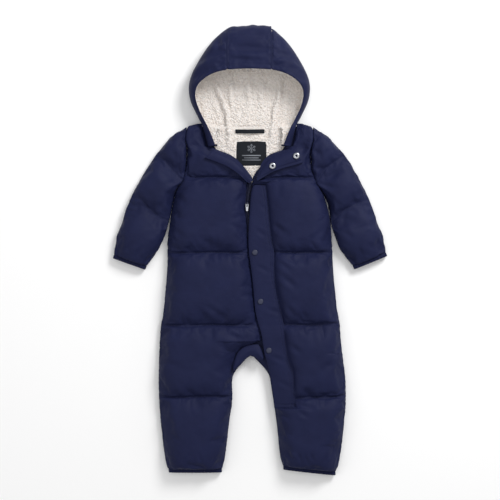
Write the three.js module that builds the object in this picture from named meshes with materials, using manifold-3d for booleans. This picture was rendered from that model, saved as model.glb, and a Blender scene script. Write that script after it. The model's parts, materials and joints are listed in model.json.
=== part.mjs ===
// A baby's padded snowsuit with a hood, laid flat on its back with its front up.
// Units are millimetres. +X is the wearer's left, +Y runs from the feet to the hood and +Z is up.
// The origin is on the floor under the middle of the suit.
import * as THREE from "three";
import { mergeVertices } from "three/addons/utils/BufferGeometryUtils.js";
import Module from "manifold-3d";

const wasm = await Module();
wasm.setup();

// Heights of the layers above the floor, from the back of the suit to its front.
const BACK_TOP = 13.4;
const LINING_LOW = 13.7;
const LINING_HIGH = 16.1;
const FRONT_LOW = 17.2;
const SEAM_HEIGHT = 9;
const GAP = 0.35;

// Thickness of the cloth and how the padding swells.
const SHELL = 2;
const PUFF_TORSO = 17;
const PUFF_LEG = 15;
const PUFF_YOKE = 12;
const QUILT_DEPTH = 0.7;
const QUILT_REACH = 36;
const SIDE_REACH = 30;
const ZIP_REACH = 26;
const FLAP_SEAT = 3;
const SEAT_FADE = 60;
const HEM_ROOM = 6;
const UNDERSIDE_REACH = 24;
const BACK_LIFT = 0.6;
const BACK_REACH = 9;

// Heights where the channels of padding are sewn through, from the yoke down to the knee.
const YOKE_Y = 136;
const WAIST_Y = -6;
const HIP_Y = -143;
const KNEE_Y = -279;
const HEM_Y = -415;
const QUILTS = [YOKE_Y, WAIST_Y, HIP_Y, KNEE_Y];

// The left leg's hem slopes down towards its side seam.
const HEM_SLOPE = { from: -330, over: 85, middle: 114, rate: 0.11 };

// Where the middle of the suit's outline lies in the tables, which measure from a point on the zip.
const MIDDLE = { x: 1.15, y: -1.06 };

// Small hardware.
const CAP = { radius: 5.6, height: 1.9, rim: 0.8 };
const SOCKET = { radius: 6, bore: 2.2, height: 1.8, above: 6.6 };
const SLIDER = { width: 7.4, length: 10.5, height: 3, x: -4.4, y: 83 };
const PULL = { width: 5, length: 12, thick: 1.2, eye: 1.1 };
const ZIP_TAPE = { half: 4.4, low: 17.6, high: 18.8, coil: 2.2, crest: 20.1 };
const BINDING = { width: 7.5, crown: 1.2, margin: 0.05 };
const LABEL = { left: -24.7, right: 32.3, low: 159, high: 205, thick: 0.5 };
const LOOP = { left: -26, right: 28, y: 227, width: 6, thick: 1.6, rise: 3.4, sag: 3, steps: 12 };

const NAVY = 0x262a43;
const PILE = 0xe9e5e3;
const INK = 0x22252c;
const STEEL = 0xb9bcc2;
const cloth = () => new THREE.MeshStandardMaterial({ color: NAVY, roughness: 0.72, metalness: 0 });
const pile = () => new THREE.MeshStandardMaterial({ color: PILE, roughness: 0.95, metalness: 0 });
const ribbon = () => new THREE.MeshStandardMaterial({ color: INK, roughness: 0.6, metalness: 0 });
const steel = () => new THREE.MeshStandardMaterial({ color: STEEL, roughness: 0.25, metalness: 1 });
const plastic = () => new THREE.MeshStandardMaterial({ color: 0x373b54, roughness: 0.4, metalness: 0 });

const suit = new THREE.Group();
suit.name = "baby_snowsuit";

const lerp = THREE.MathUtils.lerp;
const clamp = THREE.MathUtils.clamp;

// A quarter-round rise from 0 at the edge to 1 at the reach.
const swell = (distance, reach) => {
  const left = 1 - clamp(distance / reach, 0, 1);
  return Math.sqrt(1 - left * left);
};

// Reads a column of a table smoothly, without running past its rows.
function read(table, key, at, column) {
  const rows = table.length - 1;
  const falling = table[0][key] > table[rows][key];
  const [first, end] = [table[0][key], table[rows][key]];
  const place = clamp(at, Math.min(first, end), Math.max(first, end));
  let i = 0;
  while (i < rows - 1 && (falling ? place < table[i + 1][key] : place > table[i + 1][key])) i += 1;
  const slope = (k) => {
    if (k < 0 || k >= rows) return 0;
    return (table[k + 1][column] - table[k][column]) / (table[k + 1][key] - table[k][key]);
  };
  const tangent = (k) => {
    if (k === 0) return slope(0);
    if (k === rows) return slope(rows - 1);
    const [before, after] = [slope(k - 1), slope(k)];
    return before * after <= 0 ? 0 : (2 * before * after) / (before + after);
  };
  const span = table[i + 1][key] - table[i][key];
  const t = (place - table[i][key]) / span;
  const rest = 1 - t;
  return (
    (1 + 2 * t) * rest * rest * table[i][column] +
    t * rest * rest * span * tangent(i) +
    t * t * (3 - 2 * t) * table[i + 1][column] -
    t * t * rest * span * tangent(i + 1)
  );
}

// Turns rows of named values into objects, so that each table keeps a heading.
function table(heading, ...rows) {
  const names = heading.split(" ");
  return rows.map((row) => Object.fromEntries(names.map((name, i) => [name, row[i]])));
}

// Adds one closed mesh, turned so that its faces point out.
function addSolid(name, material, points, faces) {
  const [a, b, c] = [new THREE.Vector3(), new THREE.Vector3(), new THREE.Vector3()];
  let volume = 0;
  for (const [i, j, k] of faces) {
    a.fromArray(points[i]);
    b.fromArray(points[j]);
    c.fromArray(points[k]);
    volume += a.dot(b.cross(c));
  }
  const turned = volume < 0 ? faces.map(([i, j, k]) => [i, k, j]) : faces;
  const geometry = new THREE.BufferGeometry();
  geometry.setAttribute("position", new THREE.Float32BufferAttribute(points.flat(), 3));
  geometry.setIndex(turned.flat());
  geometry.computeVertexNormals();
  const mesh = new THREE.Mesh(geometry, material);
  mesh.name = name;
  suit.add(mesh);
}

// A wall of cloth from rows of [outer point, inner point]. A round wall closes on itself.
function addWall(name, material, rows, round = false) {
  const wide = rows[0].length;
  const points = rows.flatMap((row) => row.flatMap(([outer, inner]) => [outer, inner]));
  const at = (i, j, side) => 2 * (i * wide + (j % wide)) + side;
  const faces = [];
  const quad = (p, q, r, s) => faces.push([p, q, r], [p, r, s]);
  const last = rows.length - 1;
  const columns = round ? wide : wide - 1;
  for (let j = 0; j < columns; j += 1) {
    for (let i = 0; i < last; i += 1) {
      quad(at(i, j, 0), at(i + 1, j, 0), at(i + 1, j + 1, 0), at(i, j + 1, 0));
      quad(at(i, j, 1), at(i, j + 1, 1), at(i + 1, j + 1, 1), at(i + 1, j, 1));
    }
    quad(at(0, j, 0), at(0, j + 1, 0), at(0, j + 1, 1), at(0, j, 1));
    quad(at(last, j, 0), at(last, j, 1), at(last, j + 1, 1), at(last, j + 1, 0));
  }
  if (!round) {
    for (let i = 0; i < last; i += 1) {
      quad(at(i, 0, 0), at(i, 0, 1), at(i + 1, 0, 1), at(i + 1, 0, 0));
      quad(at(i, wide - 1, 0), at(i + 1, wide - 1, 0), at(i + 1, wide - 1, 1), at(i, wide - 1, 1));
    }
  }
  addSolid(name, material, points, faces);
}

// Side seams and armholes, seen from above, from the shoulder down to the hem.
const SIDE_RIGHT = table(
  "y x",
  [238, -98],
  [234, -110],
  [229, -117],
  [222, -118.8],
  [212, -121],
  [189, -117],
  [160, -119],
  [132, -124.5],
  [113, -138],
  [75, -147],
  [52, -153],
  [30, -155],
  [-40, -155],
  [-77, -158],
  [-115, -162],
  [-143, -167],
  [-182, -170],
  [-258, -172],
  [-279, -171],
  [-320, -169],
  [-352, -166],
  [-382, -162],
  [-404, -158],
  [-415, -154],
);
const SIDE_LEFT = table(
  "y x",
  [238, 100],
  [235, 108],
  [228, 118],
  [216, 121.2],
  [180, 115],
  [155, 117],
  [126, 126],
  [103, 141.5],
  [79, 151],
  [47, 155],
  [-6, 157],
  [-40, 158.5],
  [-77, 162],
  [-115, 166],
  [-143, 171],
  [-182, 174],
  [-220, 179],
  [-258, 182.5],
  [-279, 182.5],
  [-320, 180],
  [-352, 178],
  [-382, 173],
  [-404, 169],
  [-415, 164],
);

// Inner edges of the legs.
const INSEAM_RIGHT = table(
  "y x",
  [-198, -1],
  [-206, -4],
  [-214, -12],
  [-225, -22],
  [-235, -31],
  [-256, -34.5],
  [-278, -33],
  [-301, -35],
  [-324, -40],
  [-358, -41],
  [-381, -44],
  [-400, -48],
  [-415, -52],
);
const INSEAM_LEFT = table(
  "y x",
  [-198, 1],
  [-206, 10],
  [-214, 18],
  [-221, 31],
  [-231, 37],
  [-257, 41],
  [-278, 44],
  [-305, 48.5],
  [-324, 54],
  [-362, 54],
  [-381, 56],
  [-396, 59],
  [-415, 64],
);

// The zip from the neck to the crotch, where the leg takes over, and the flap that covers it.
const ZIP = table(
  "y x",
  [121, 1],
  [103, -2],
  [83, -4.4],
  [60, -1],
  [35, 2],
  [-3, 3.5],
  [-29, 7],
  [-66, 12],
  [-115, 15.5],
  [-134, 20],
  [-158, 27],
  [-178, 30.5],
);
const FLAP = table(
  "y free sewn",
  [124, 9, 34],
  [115, 3, 37],
  [94, 1.4, 40],
  [67, 0.6, 41],
  [46, -2, 43],
  [24, -2.3, 46.4],
  [1, -1.5, 50.4],
  [-29, 2, 51.3],
  [-48, 4.6, 51.7],
  [-84, 8.6, 59],
  [-115, 10.5, 64],
  [-134, 15, 67.2],
  [-160, 22.7, 71.3],
  [-188, 27, 75],
  [-207, 31, 78.3],
  [-223, 36, 83.8],
  [-229, 37.4, 87.8],
  [-267, 43.2, 89],
  [-302, 47.5, 90.3],
);

// The fronts stop this far from the zip's middle, and the left one this far inside the leg's edge.
const ZIP_ROOM = 6;
const FLAP_ROOM = 2.4;
const FLAP_END = -310;

// Neck edges of the two fronts, which the hood and the collar cover.
const NECK_RIGHT = table("y x", [238, -91], [231, -90.6], [217, -87.4], [205, -84.6], [196, -82], [191, -66],
  [180, -40], [172, -26], [151, -7], [138, -4], [128, -5]);
const NECK_LEFT = table("y x", [238, 91], [231, 90.6], [217, 87.6], [205, 84.8], [196, 83], [190, 68],
  [180, 48], [172, 36], [151, 18], [138, 9], [128, 7]);
const BACK_NECK = table("y x", [238, 92], [233, 89.5], [229.4, 85], [228.5, 0.3]);
const FRONT_RIGHT_EDGE = [
  ...NECK_RIGHT,
  ...ZIP.filter((row) => row.y > -170).map((row) => ({ y: row.y, x: row.x - ZIP_ROOM })),
  ...table("y x", [-173, 22], [-178, 3], [-184, -14], [-194, -24.5], [-215, -32.5]),
  ...INSEAM_RIGHT.filter((row) => row.y < -230),
];
const besideFlap = ({ y, x }) => ({ y, x: x + (y > FLAP_END ? FLAP_ROOM : 0) });
const FRONT_LEFT_EDGE = [
  ...NECK_LEFT,
  ...ZIP.map((row) => ({ y: row.y, x: row.x + ZIP_ROOM })),
  ...table("y x", [-200, 35]),
  ...INSEAM_LEFT.filter((row) => row.y < -218).map(besideFlap),
];

// How high the padding stands at one height of the body, low where a quilt line is sewn through.
function channel(y) {
  const toQuilt = Math.min(...QUILTS.map((line) => Math.abs(y - line)), y - HEM_Y + HEM_ROOM);
  const dip = 1 - QUILT_DEPTH * (1 - swell(toQuilt, QUILT_REACH));
  const puff = y > YOKE_Y ? PUFF_YOKE : y > HIP_Y ? PUFF_TORSO : PUFF_LEG;
  return puff * dip;
}

// The height of the plain inner face of a front or back, which falls to the seam at its edge.
const innerHeight = (low, distance) =>
  lerp(SEAM_HEIGHT, low, Math.pow(clamp(distance / UNDERSIDE_REACH, 0, 1), 0.7));

// How far a point is from an edge that leans, when it is wide of that edge along X.
function square(edge, y, wide) {
  const lean = (read(edge, "y", y + 2, "x") - read(edge, "y", y - 2, "x")) / 4;
  return Math.abs(wide) / Math.hypot(1, lean);
}

// The back is as high as this, where a front lies on it.
function backHeight(x, y) {
  const side = x < 0 ? SIDE_RIGHT : SIDE_LEFT;
  const inseam = x < 0 ? INSEAM_RIGHT : INSEAM_LEFT;
  const toSide = Math.abs(read(side, "y", y, "x")) - Math.abs(x);
  const legs = y < inseam[0].y;
  const toInseam = legs ? Math.abs(x) - Math.abs(read(inseam, "y", y, "x")) : toSide;
  return innerHeight(BACK_TOP, Math.max(Math.min(toSide, toInseam), 0)) - GAP;
}

// Moves a point of the left leg down or up to its sloping hem.
function toHem(x, y) {
  const part = clamp((HEM_SLOPE.from - y) / HEM_SLOPE.over, 0, 1);
  return x > 0 ? y - HEM_SLOPE.rate * (x - HEM_SLOPE.middle) * part * part : y;
}

// The top and the underside of a front at a point between its side seam and its other edge.
function frontHeights(x, y, side, edge, padded, seat, inseamFrom) {
  const toSide = square(side, y, x - read(side, "y", y, "x"));
  const toEdge = Math.abs(x - read(edge, "y", y, "x"));
  const legs = clamp((inseamFrom - y) / 20, 0, 1);
  const toSeam = lerp(toSide, Math.min(toSide, toEdge), legs);
  const low = Math.max(innerHeight(FRONT_LOW, toSeam) + GAP, backHeight(x, y) + 3 * GAP);
  const across = swell(toSide, SIDE_REACH) * swell(padded, ZIP_REACH);
  return [low + seat + channel(y) * across, low];
}

// Rows down a front or a back: close together at each quilt line, wide in the middle of a channel.
function rowsDown(top, steps) {
  const stops = [top, ...QUILTS, HEM_Y];
  const rows = stops.slice(1).flatMap((low, i) => steps.map((step) => lerp(stops[i], low, step)));
  return [...rows, HEM_Y];
}
const FINE = [0, 0.06, 0.17, 0.4, 0.8, 0.94];
const COARSE = [0, 0.2, 0.5, 0.8];
const NECK_ROWS = [238, 233, 228.5, 222, 212, 204, 196, 190, 180, 172, 162, 151, 144, 138];

// Columns across a piece: close together where it rounds down to a seam.
const ACROSS = [0, 0.03, 0.09, 0.2, 0.36, 0.55, 0.74, 0.88, 0.96, 1];
const ACROSS_BACK = [0, 0.03, 0.09, 0.36, 0.74, 0.96, 1];

// Rows of a front, from the neck down, with some more where its edge turns.
function frontRows(more) {
  const rows = [...NECK_ROWS, ...rowsDown(YOKE_Y, FINE).filter((y) => y <= YOKE_Y), ...more];
  return [...new Set(rows)].sort((a, b) => b - a);
}

// The two backs lie flat on the floor and rise to the side seams.
function addBack(name, side, inseam, sign) {
  const rows = [238, 233, 229.4, ...rowsDown(228.5, COARSE), -200, -214, -235];
  const cells = rows.sort((a, b) => b - a).map((y) => {
    const edge = read(side, "y", y, "x");
    const legs = y < inseam[0].y;
    const centre = legs ? read(inseam, "y", y, "x") : sign * read(BACK_NECK, "y", y, "x");
    return ACROSS_BACK.map((u) => {
      const x = lerp(edge, centre, u);
      const toSide = Math.abs(x - edge);
      const toEdge = legs ? Math.min(toSide, Math.abs(x - centre)) : toSide;
      const under = SEAM_HEIGHT * BACK_LIFT * (1 - swell(toEdge, BACK_REACH));
      return [[x, toHem(x, y), backHeight(x, y)], [x, toHem(x, y), under]];
    });
  });
  addWall(name, cloth(), cells);
}
addBack("back_right", SIDE_RIGHT, INSEAM_RIGHT, -1);
addBack("back_left", SIDE_LEFT, INSEAM_LEFT, 1);

// The front on the wearer's right reaches from its side seam to the zip.
function frontRightHeights(x, y) {
  const padded = square(FRONT_RIGHT_EDGE, y, read(FRONT_RIGHT_EDGE, "y", y, "x") - x);
  return frontHeights(x, y, SIDE_RIGHT, FRONT_RIGHT_EDGE, padded, SHELL, -205);
}
function addFrontRight() {
  const cells = frontRows([128, -172.5, -178, -186, -196, -215, -235]).map((y) => {
    const [side, edge] = [read(SIDE_RIGHT, "y", y, "x"), read(FRONT_RIGHT_EDGE, "y", y, "x")];
    return ACROSS.map((u) => {
      const x = lerp(side, edge, u);
      const [high, low] = frontRightHeights(x, y);
      return [[x, y, high], [x, y, low]];
    });
  });
  addWall("front_right", cloth(), cells);
}
addFrontRight();

// The front on the wearer's left is flat under the flap, and padded from there to its side seam.
const CAPS = table(
  "name x y",
  ["snap_cap_1", 10.4, -5.7],
  ["snap_cap_2", 21.1, -98.4],
  ["snap_cap_3", 37, -191],
);
const LEFT_ROWS = frontRows([128, 122, -200, -218, -229, -301, -307, ...CAPS.slice(1).map(({ y }) => y)]);
const UNDER_FLAP = [0, 0.12, 0.3, 0.6];
const BESIDE_FLAP = [0, 0.04, 0.12, 0.3, 0.55, 0.78, 0.91, 0.97, 1];
function frontLeftColumns(y) {
  const [side, edge] = [read(SIDE_LEFT, "y", y, "x"), read(FRONT_LEFT_EDGE, "y", y, "x")];
  const covered = y < FLAP[0].y && y > FLAP.at(-1).y;
  const turn = covered ? read(FLAP, "y", y, "sewn") - 3 : lerp(edge, side, 0.3);
  const from = covered ? turn : edge;
  const columns = [
    ...UNDER_FLAP.map((u) => lerp(edge, turn, u)),
    ...BESIDE_FLAP.map((u) => lerp(turn, side, u)),
  ];
  return columns.map((x) => {
    const padded = covered ? Math.max(x - from, 0) : square(FRONT_LEFT_EDGE, y, x - from);
    const seat = lerp(FLAP_SEAT, SHELL, clamp((FLAP.at(-1).y - y) / SEAT_FADE, 0, 1));
    const [high, low] = frontHeights(x, y, SIDE_LEFT, FRONT_LEFT_EDGE, padded, seat, -195);
    return { x, high, low };
  });
}
function addFrontLeft() {
  const pair = ({ x, high, low }, y) => [[x, toHem(x, y), high], [x, toHem(x, y), low]];
  addWall("front_left", cloth(), LEFT_ROWS.map((y) => frontLeftColumns(y).map((column) => pair(column, y))));
}
addFrontLeft();

// The top of the left front at a point, read between its columns.
function seatHeight(x, y) {
  const columns = frontLeftColumns(y);
  const i = columns.findIndex((column) => column.x >= x);
  if (i <= 0) return i === 0 ? columns[0].high : columns.at(-1).high;
  const [from, to] = [columns[i - 1], columns[i]];
  return lerp(from.high, to.high, (x - from.x) / (to.x - from.x));
}

// Sleeves, from the shoulder to the cuff: a row joins the outer edge of the sleeve to its inner edge.
const SLEEVE_RIGHT = table(
  "ox oy ix iy dip",
  [-120, 230, -123, 208, 0],
  [-143, 218, -119.8, 189, 0.8],
  [-161, 199.5, -120.8, 160, 1],
  [-177, 179, -126.4, 131, 0],
  [-194, 155, -139.3, 112, 1],
  [-211, 125, -146.8, 84, 1],
  [-225, 97, -154, 53, 0],
  [-242, 50, -161, 29, 1],
  [-252, 22, -173, 2, 0.9],
  [-256.5, -8.5, -195.5, -30, 0.1],
);
const SLEEVE_LEFT = table(
  "ox oy ix iy dip",
  [121.8, 230, 123.4, 208, 0],
  [144.5, 217, 117.6, 184, 0.8],
  [163, 199, 118.9, 155, 1],
  [179.5, 180, 127.9, 126, 0],
  [198, 152, 141.8, 104, 1],
  [213, 124, 151.8, 80, 1],
  [227, 95, 155.8, 51, 0],
  [243, 50, 163, 27, 1],
  [253, 25, 175, -1, 0.9],
  [258.5, -4.5, 196.5, -29.5, 0.1],
);
const SLEEVE_PUFF = 15;
const SLEEVE_LOW = 15.4;
const FULL_WIDTH = 40;
const SEAM_MARGIN = 5;
const SLIT = 1.3;
const ROUND = 14;

// One ring of a flattened tube between two points: a padded wall round a slit, open at both ends.
function flatRing(start, end, high, margin) {
  return Array.from({ length: ROUND }, (_, j) => {
    const angle = (2 * Math.PI * (j + 0.5)) / ROUND;
    const across = 0.5 - (0.5 * Math.cos(angle)) / Math.cos(Math.PI / ROUND);
    const up = Math.sin(angle);
    const rise = Math.pow(Math.abs(up), up > 0 ? 0.75 : 0.3);
    const outer = [
      lerp(start[0], end[0], across),
      lerp(start[1], end[1], across),
      up > 0 ? SEAM_HEIGHT + (high - SEAM_HEIGHT) * rise : Math.max(0, SEAM_HEIGHT * (1 - rise * 1.08)),
    ];
    const inside = lerp(margin, 1 - margin, across);
    const inner = [
      lerp(start[0], end[0], inside),
      lerp(start[1], end[1], inside),
      SEAM_HEIGHT + SLIT * up,
    ];
    return [outer, inner];
  });
}

function addSleeve(name, rail) {
  const steps = 2;
  const rows = [];
  const stations = rail.map((row, i) => ({ ...row, i }));
  for (let k = 0; k <= steps * (rail.length - 1); k += 1) {
    const at = k / steps;
    const [ox, oy, ix, iy, dip] = ["ox", "oy", "ix", "iy", "dip"].map((key) => read(stations, "i", at, key));
    const wide = Math.hypot(ox - ix, oy - iy);
    const puff = SLEEVE_PUFF * (1 - QUILT_DEPTH * (1 - dip)) * clamp(wide / FULL_WIDTH, 0.45, 1);
    const margin = clamp(SEAM_MARGIN / wide, 0.06, 0.3);
    rows.push(flatRing([ox, oy], [ix, iy], SLEEVE_LOW + puff, margin));
  }
  addWall(name, cloth(), rows, true);
}
addSleeve("sleeve_right", SLEEVE_RIGHT);
addSleeve("sleeve_left", SLEEVE_LEFT);

// A gathered elastic binding round a flat opening, from a start edge to its own width further out.
function addBinding(name, from, to, outward, high) {
  const rows = [0, 0.5, 1].map((step) => {
    const shift = GAP + step * BINDING.width;
    const [start, end] = [from, to].map(([x, y]) => [x + outward[0] * shift, y + outward[1] * shift]);
    const crown = high + (step === 0.5 ? BINDING.crown : 0);
    return flatRing(start, end, crown, BINDING.margin);
  });
  addWall(name, cloth(), rows, true);
}
const CUFF_HIGH = 16;
const HEM_HIGH = 17;
addBinding("cuff_binding_right", [-256.5, -9], [-196, -30.6], [-0.335, -0.94], CUFF_HIGH);
addBinding("cuff_binding_left", [258.5, -5], [197, -30], [0.377, -0.926], CUFF_HIGH);
addBinding("hem_binding_right", [-153, -415.6], [-53, -415.4], [0.02, -1], HEM_HIGH);
addBinding("hem_binding_left", [65, -410.2], [163, -421], [0.04, -1], HEM_HIGH);

// The hood is a bowl on its back. Each row runs from its rim over the outline to the centre seam.
const HOOD_SIDE = table(
  "rx ry ox oy fx fy rim edge floor",
  [42, 337, 41.4, 422, 41.4, 398, 58, 17, 0],
  [58, 334, 65, 402, 41.4, 364, 57, 17, 0],
  [75, 328, 82.5, 381, 41.4, 333, 54, 16, 0],
  [90, 318, 101.5, 349, 41.4, 307, 50, 15, 0],
  [100.5, 307, 113.5, 324, 41.4, 288, 45, 14, 0],
  [103.5, 290, 116, 303, 41.4, 273, 40, 13, 0],
  [100, 275, 112, 280, 41.4, 259, 36, 12, 0],
  [93.5, 259, 104, 265, 41.4, 248, 33, 12, 0],
  [87, 247, 98, 252, 41.4, 236, 32, 12, 0],
  [82, 236.5, 93, 243, 50, 231, 33, 12, 0],
  [78, 229.5, 88, 233.5, 63, 229.5, 37, 25, 17],
  [71, 213, 83, 216, 64, 213, 37, 26, 17],
  [65, 197, 77.6, 195, 61, 197, 34, 25, 17],
);
const HOOD_WALL = 6;
const HOOD_LINING = 2.6;
const HOOD_TURN = 10;
const SHELL_SHARE = 0.42;
const LINING_SHARE = 0.25;
const UPPER = [0, 22, 44, 66, 90].map(THREE.MathUtils.degToRad);
const LOWER = [45, 90].map(THREE.MathUtils.degToRad);

// One section of the hood, set in from its outer face by a depth.
function hoodSection(row, depth) {
  const [rim, out, seam] = [[row.rx, row.ry], [row.ox, row.oy], [row.fx, row.fy]];
  const over = Math.hypot(rim[0] - out[0], rim[1] - out[1]);
  const under = Math.hypot(seam[0] - out[0], seam[1] - out[1]);
  const inset = out.map((value, i) => value + ((rim[i] - value) / over) * depth);
  const turn = out.map((value, i) => value + ((seam[i] - value) / under) * Math.min(HOOD_TURN, under * 0.5));
  const mix = (a, b, t) => [lerp(a[0], b[0], t), lerp(a[1], b[1], t)];
  const upper = UPPER.map((angle) => [
    ...mix(rim, inset, Math.sin(angle)),
    row.edge + (row.rim - depth - row.edge) * Math.cos(angle),
  ]);
  const lower = LOWER.map((angle) => [
    ...mix(inset, turn, 1 - Math.cos(angle)),
    row.edge - (row.edge - row.floor - depth) * Math.sin(angle),
  ]);
  const flat = [0.35, 0.7, 1].map((t) => [...mix(turn, seam, t), row.floor + depth]);
  return [...upper, ...lower, ...flat];
}

// How deep the shell and the lining may be where the rim lies close to the outline.
function hoodDepths(row) {
  const over = Math.hypot(row.rx - row.ox, row.ry - row.oy);
  const shell = Math.min(HOOD_WALL, over * SHELL_SHARE);
  return { shell, lined: shell + Math.min(HOOD_LINING, over * LINING_SHARE) };
}
const between = (row, from, to) => {
  const [outer, inner] = [hoodSection(row, from), hoodSection(row, to)];
  return outer.map((point, i) => [point, inner[i]]);
};
const mirrored = (sign, pairs) => pairs.map((pair) => pair.map(([x, y, z]) => [x * sign, y, z]));

function addHoodSide(name, liningName, sign) {
  const shell = HOOD_SIDE.map((row) => mirrored(sign, between(row, 0, hoodDepths(row).shell)));
  addWall(name, cloth(), shell);
  const lining = HOOD_SIDE.map((row) => {
    const { shell: deep, lined } = hoodDepths(row);
    return mirrored(sign, between(row, deep + GAP, lined + GAP));
  });
  addWall(liningName, pile(), lining);
}
addHoodSide("hood_side_right", "hood_lining_right", -1);
addHoodSide("hood_side_left", "hood_lining_left", 1);

// The centre strip runs from the rim over the crown and down the back to the neck seam.
const CROWN = table(
  "x rim top",
  [-41, 337, 422.4],
  [-20, 338.5, 425],
  [0, 339, 426],
  [22, 338.5, 426.4],
  [41, 337, 426.6],
);
const NECK_SEAM_Y = 229.5;
function addHoodCentre() {
  const rows = CROWN.map(({ x, rim, top }) => ({
    rx: x, ry: rim, ox: x, oy: top, fx: x, fy: NECK_SEAM_Y, rim: 58, edge: 17, floor: 0,
  }));
  addWall("hood_centre", cloth(), rows.map((row) => between(row, 0, HOOD_WALL)));
  const [from, to] = [HOOD_WALL + GAP, HOOD_WALL + HOOD_LINING + GAP];
  addWall("hood_lining_centre", pile(), rows.map((row) => between(row, from, to)));
}
addHoodCentre();

// A flat piece from a table of its two long edges, with its underside and thickness.
function addStrip(name, material, rows, across, low, thick) {
  const cells = rows.map((row) =>
    across.map((t) => {
      const [x, y] = [lerp(row.ax, row.bx, t), lerp(row.ay, row.by, t)];
      const base = typeof low === "function" ? low(x, y) : low;
      const crown = typeof thick === "function" ? thick(t) : thick;
      return [[x, y, base + crown], [x, y, base]];
    }),
  );
  addWall(name, material, cells);
}

// The lining of the back that shows inside the neck.
const NECK_LINING = table(
  "ax ay bx by",
  [-67, 227.5, 67, 227.5],
  [-66, 210, 66, 210],
  [-62, 197, 62, 197],
  [-54, 187, 54, 187],
  [-36, 160, 36, 160],
  [-14, 130, 20, 130],
  [-4, 112, 14, 112],
);
const ACROSS_LINING = [0, 0.25, 0.5, 0.75, 1];
addStrip("neck_lining", pile(), NECK_LINING, ACROSS_LINING, LINING_LOW, LINING_HIGH - LINING_LOW);

// The neck label and the hanging loop.
const labelRows = table(
  "ax ay bx by",
  [LABEL.left, LABEL.high, LABEL.right, LABEL.high],
  [LABEL.left, LABEL.low, LABEL.right, LABEL.low],
);
addStrip("neck_label", ribbon(), labelRows, [0, 1], LINING_HIGH + GAP, LABEL.thick);

const loopRows = Array.from({ length: LOOP.steps + 1 }, (_, i) => {
  const t = i / LOOP.steps;
  const x = lerp(LOOP.left, LOOP.right, t);
  const sag = LOOP.sag * Math.sin(Math.PI * t);
  return { ax: x, ay: LOOP.y - sag, bx: x, by: LOOP.y - sag - LOOP.width };
});
const loopLow = (x) => {
  const t = clamp((x - LOOP.left) / (LOOP.right - LOOP.left), 0, 1);
  return LINING_HIGH + GAP + LOOP.rise * Math.sin(Math.PI * t);
};
addStrip("hanging_loop", ribbon(), loopRows, [0, 1], loopLow, LOOP.thick);

// The crotch gusset shows between the legs.
const GUSSET = table(
  "ax ay bx by",
  [-31.6, -221, -30, -231],
  [-27.6, -205.5, -22, -223.5],
  [-20.4, -192.2, -13, -213],
  [-10, -183.6, -5, -205.5],
  [4, -179.6, 2, -201],
  [17, -180, 10, -203.5],
  [23, -189, 17, -209],
  [27, -203, 24, -212],
);
const GUSSET_EDGE = 3;
const GUSSET_PUFF = 5.5;
const gussetThick = (t) => GUSSET_EDGE + GUSSET_PUFF * Math.sin(Math.PI * clamp(t, 0.08, 0.92));
addStrip("crotch_gusset", cloth(), GUSSET, [0, 0.2, 0.5, 0.8, 1], FRONT_LOW + GAP, gussetThick);

// The storm flap lies on the left front over the zip, from the neck to below the knee.
const FLAP_THICK = 4.2;
const FLAP_CLEAR = 0.8;
const FLAP_PUFF = 1.6;
const FLAP_EDGE = 0.6;
const SEWN_ROOM = 3.5;
const ACROSS_FLAP = [0, 0.1, 0.35, 0.65, 0.9, 1];
const zipReaches = (y) => y > ZIP.at(-1).y - 10;
function flapHeights(x, y) {
  const [free, sewn] = [read(FLAP, "y", y, "free"), read(FLAP, "y", y, "sewn") - SEWN_ROOM];
  const t = clamp((x - free) / (sewn - free), 0, 1);
  const low = Math.max(seatHeight(x, y), zipReaches(y) ? ZIP_TAPE.crest : 0) + FLAP_CLEAR;
  const edge = clamp(Math.min(t, 1 - t) / ACROSS_FLAP[1], 0, 1);
  const crown = FLAP_THICK + (zipReaches(y) ? FLAP_PUFF * (channel(y) / PUFF_TORSO) : 0);
  return [low + crown * lerp(FLAP_EDGE, 1, edge), low];
}
function addFlap() {
  const cells = LEFT_ROWS.filter((y) => y <= 122 && y >= -301).map((y) => {
    const [free, sewn] = [read(FLAP, "y", y, "free"), read(FLAP, "y", y, "sewn") - SEWN_ROOM];
    return ACROSS_FLAP.map((t) => {
      const x = lerp(free, sewn, t);
      const [high, low] = flapHeights(x, y);
      return [[x, y, high], [x, y, low]];
    });
  });
  addWall("placket_flap", cloth(), cells);
}
addFlap();

// The collar edge on the wearer's right is folded down. The flap's end on the left is turned open.
const COLLAR_RIGHT = table(
  "ax ay bx by",
  [-66, 188, -84, 173],
  [-46, 181, -62, 165],
  [-25, 171, -41, 157],
  [-6, 152, -18, 141],
  [5, 137, -6, 128],
  [6.5, 131, 1, 125],
);
const COLLAR_LEFT = table(
  "ax ay bx by",
  [12, 133, 15, 128.5],
  [18, 150, 33, 140.5],
  [24, 167, 46, 147.5],
  [38, 180, 60, 152],
  [58, 187, 78, 157],
  [73, 189, 92, 160.5],
  [83, 188, 101, 164],
);
const COLLAR_THICK = 4;
const COLLAR_CLEAR = 3;
const ACROSS_COLLAR = [0, 0.12, 0.4, 0.7, 0.9, 1];
const COLLAR_PUFF = 2;
const collarCrown = (t) => COLLAR_THICK + COLLAR_PUFF * Math.sin(Math.PI * clamp(t, 0.06, 0.94));
const overLeft = (x, y) => seatHeight(x, y) + COLLAR_CLEAR;
function overRight(x, y) {
  const onFront = Math.min(x, read(FRONT_RIGHT_EDGE, "y", y, "x"));
  return frontRightHeights(onFront, y)[0] + COLLAR_CLEAR;
}
addStrip("collar_right", cloth(), COLLAR_RIGHT, ACROSS_COLLAR, overRight, collarCrown);
addStrip("collar_left", cloth(), COLLAR_LEFT, ACROSS_COLLAR, overLeft, collarCrown);

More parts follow.
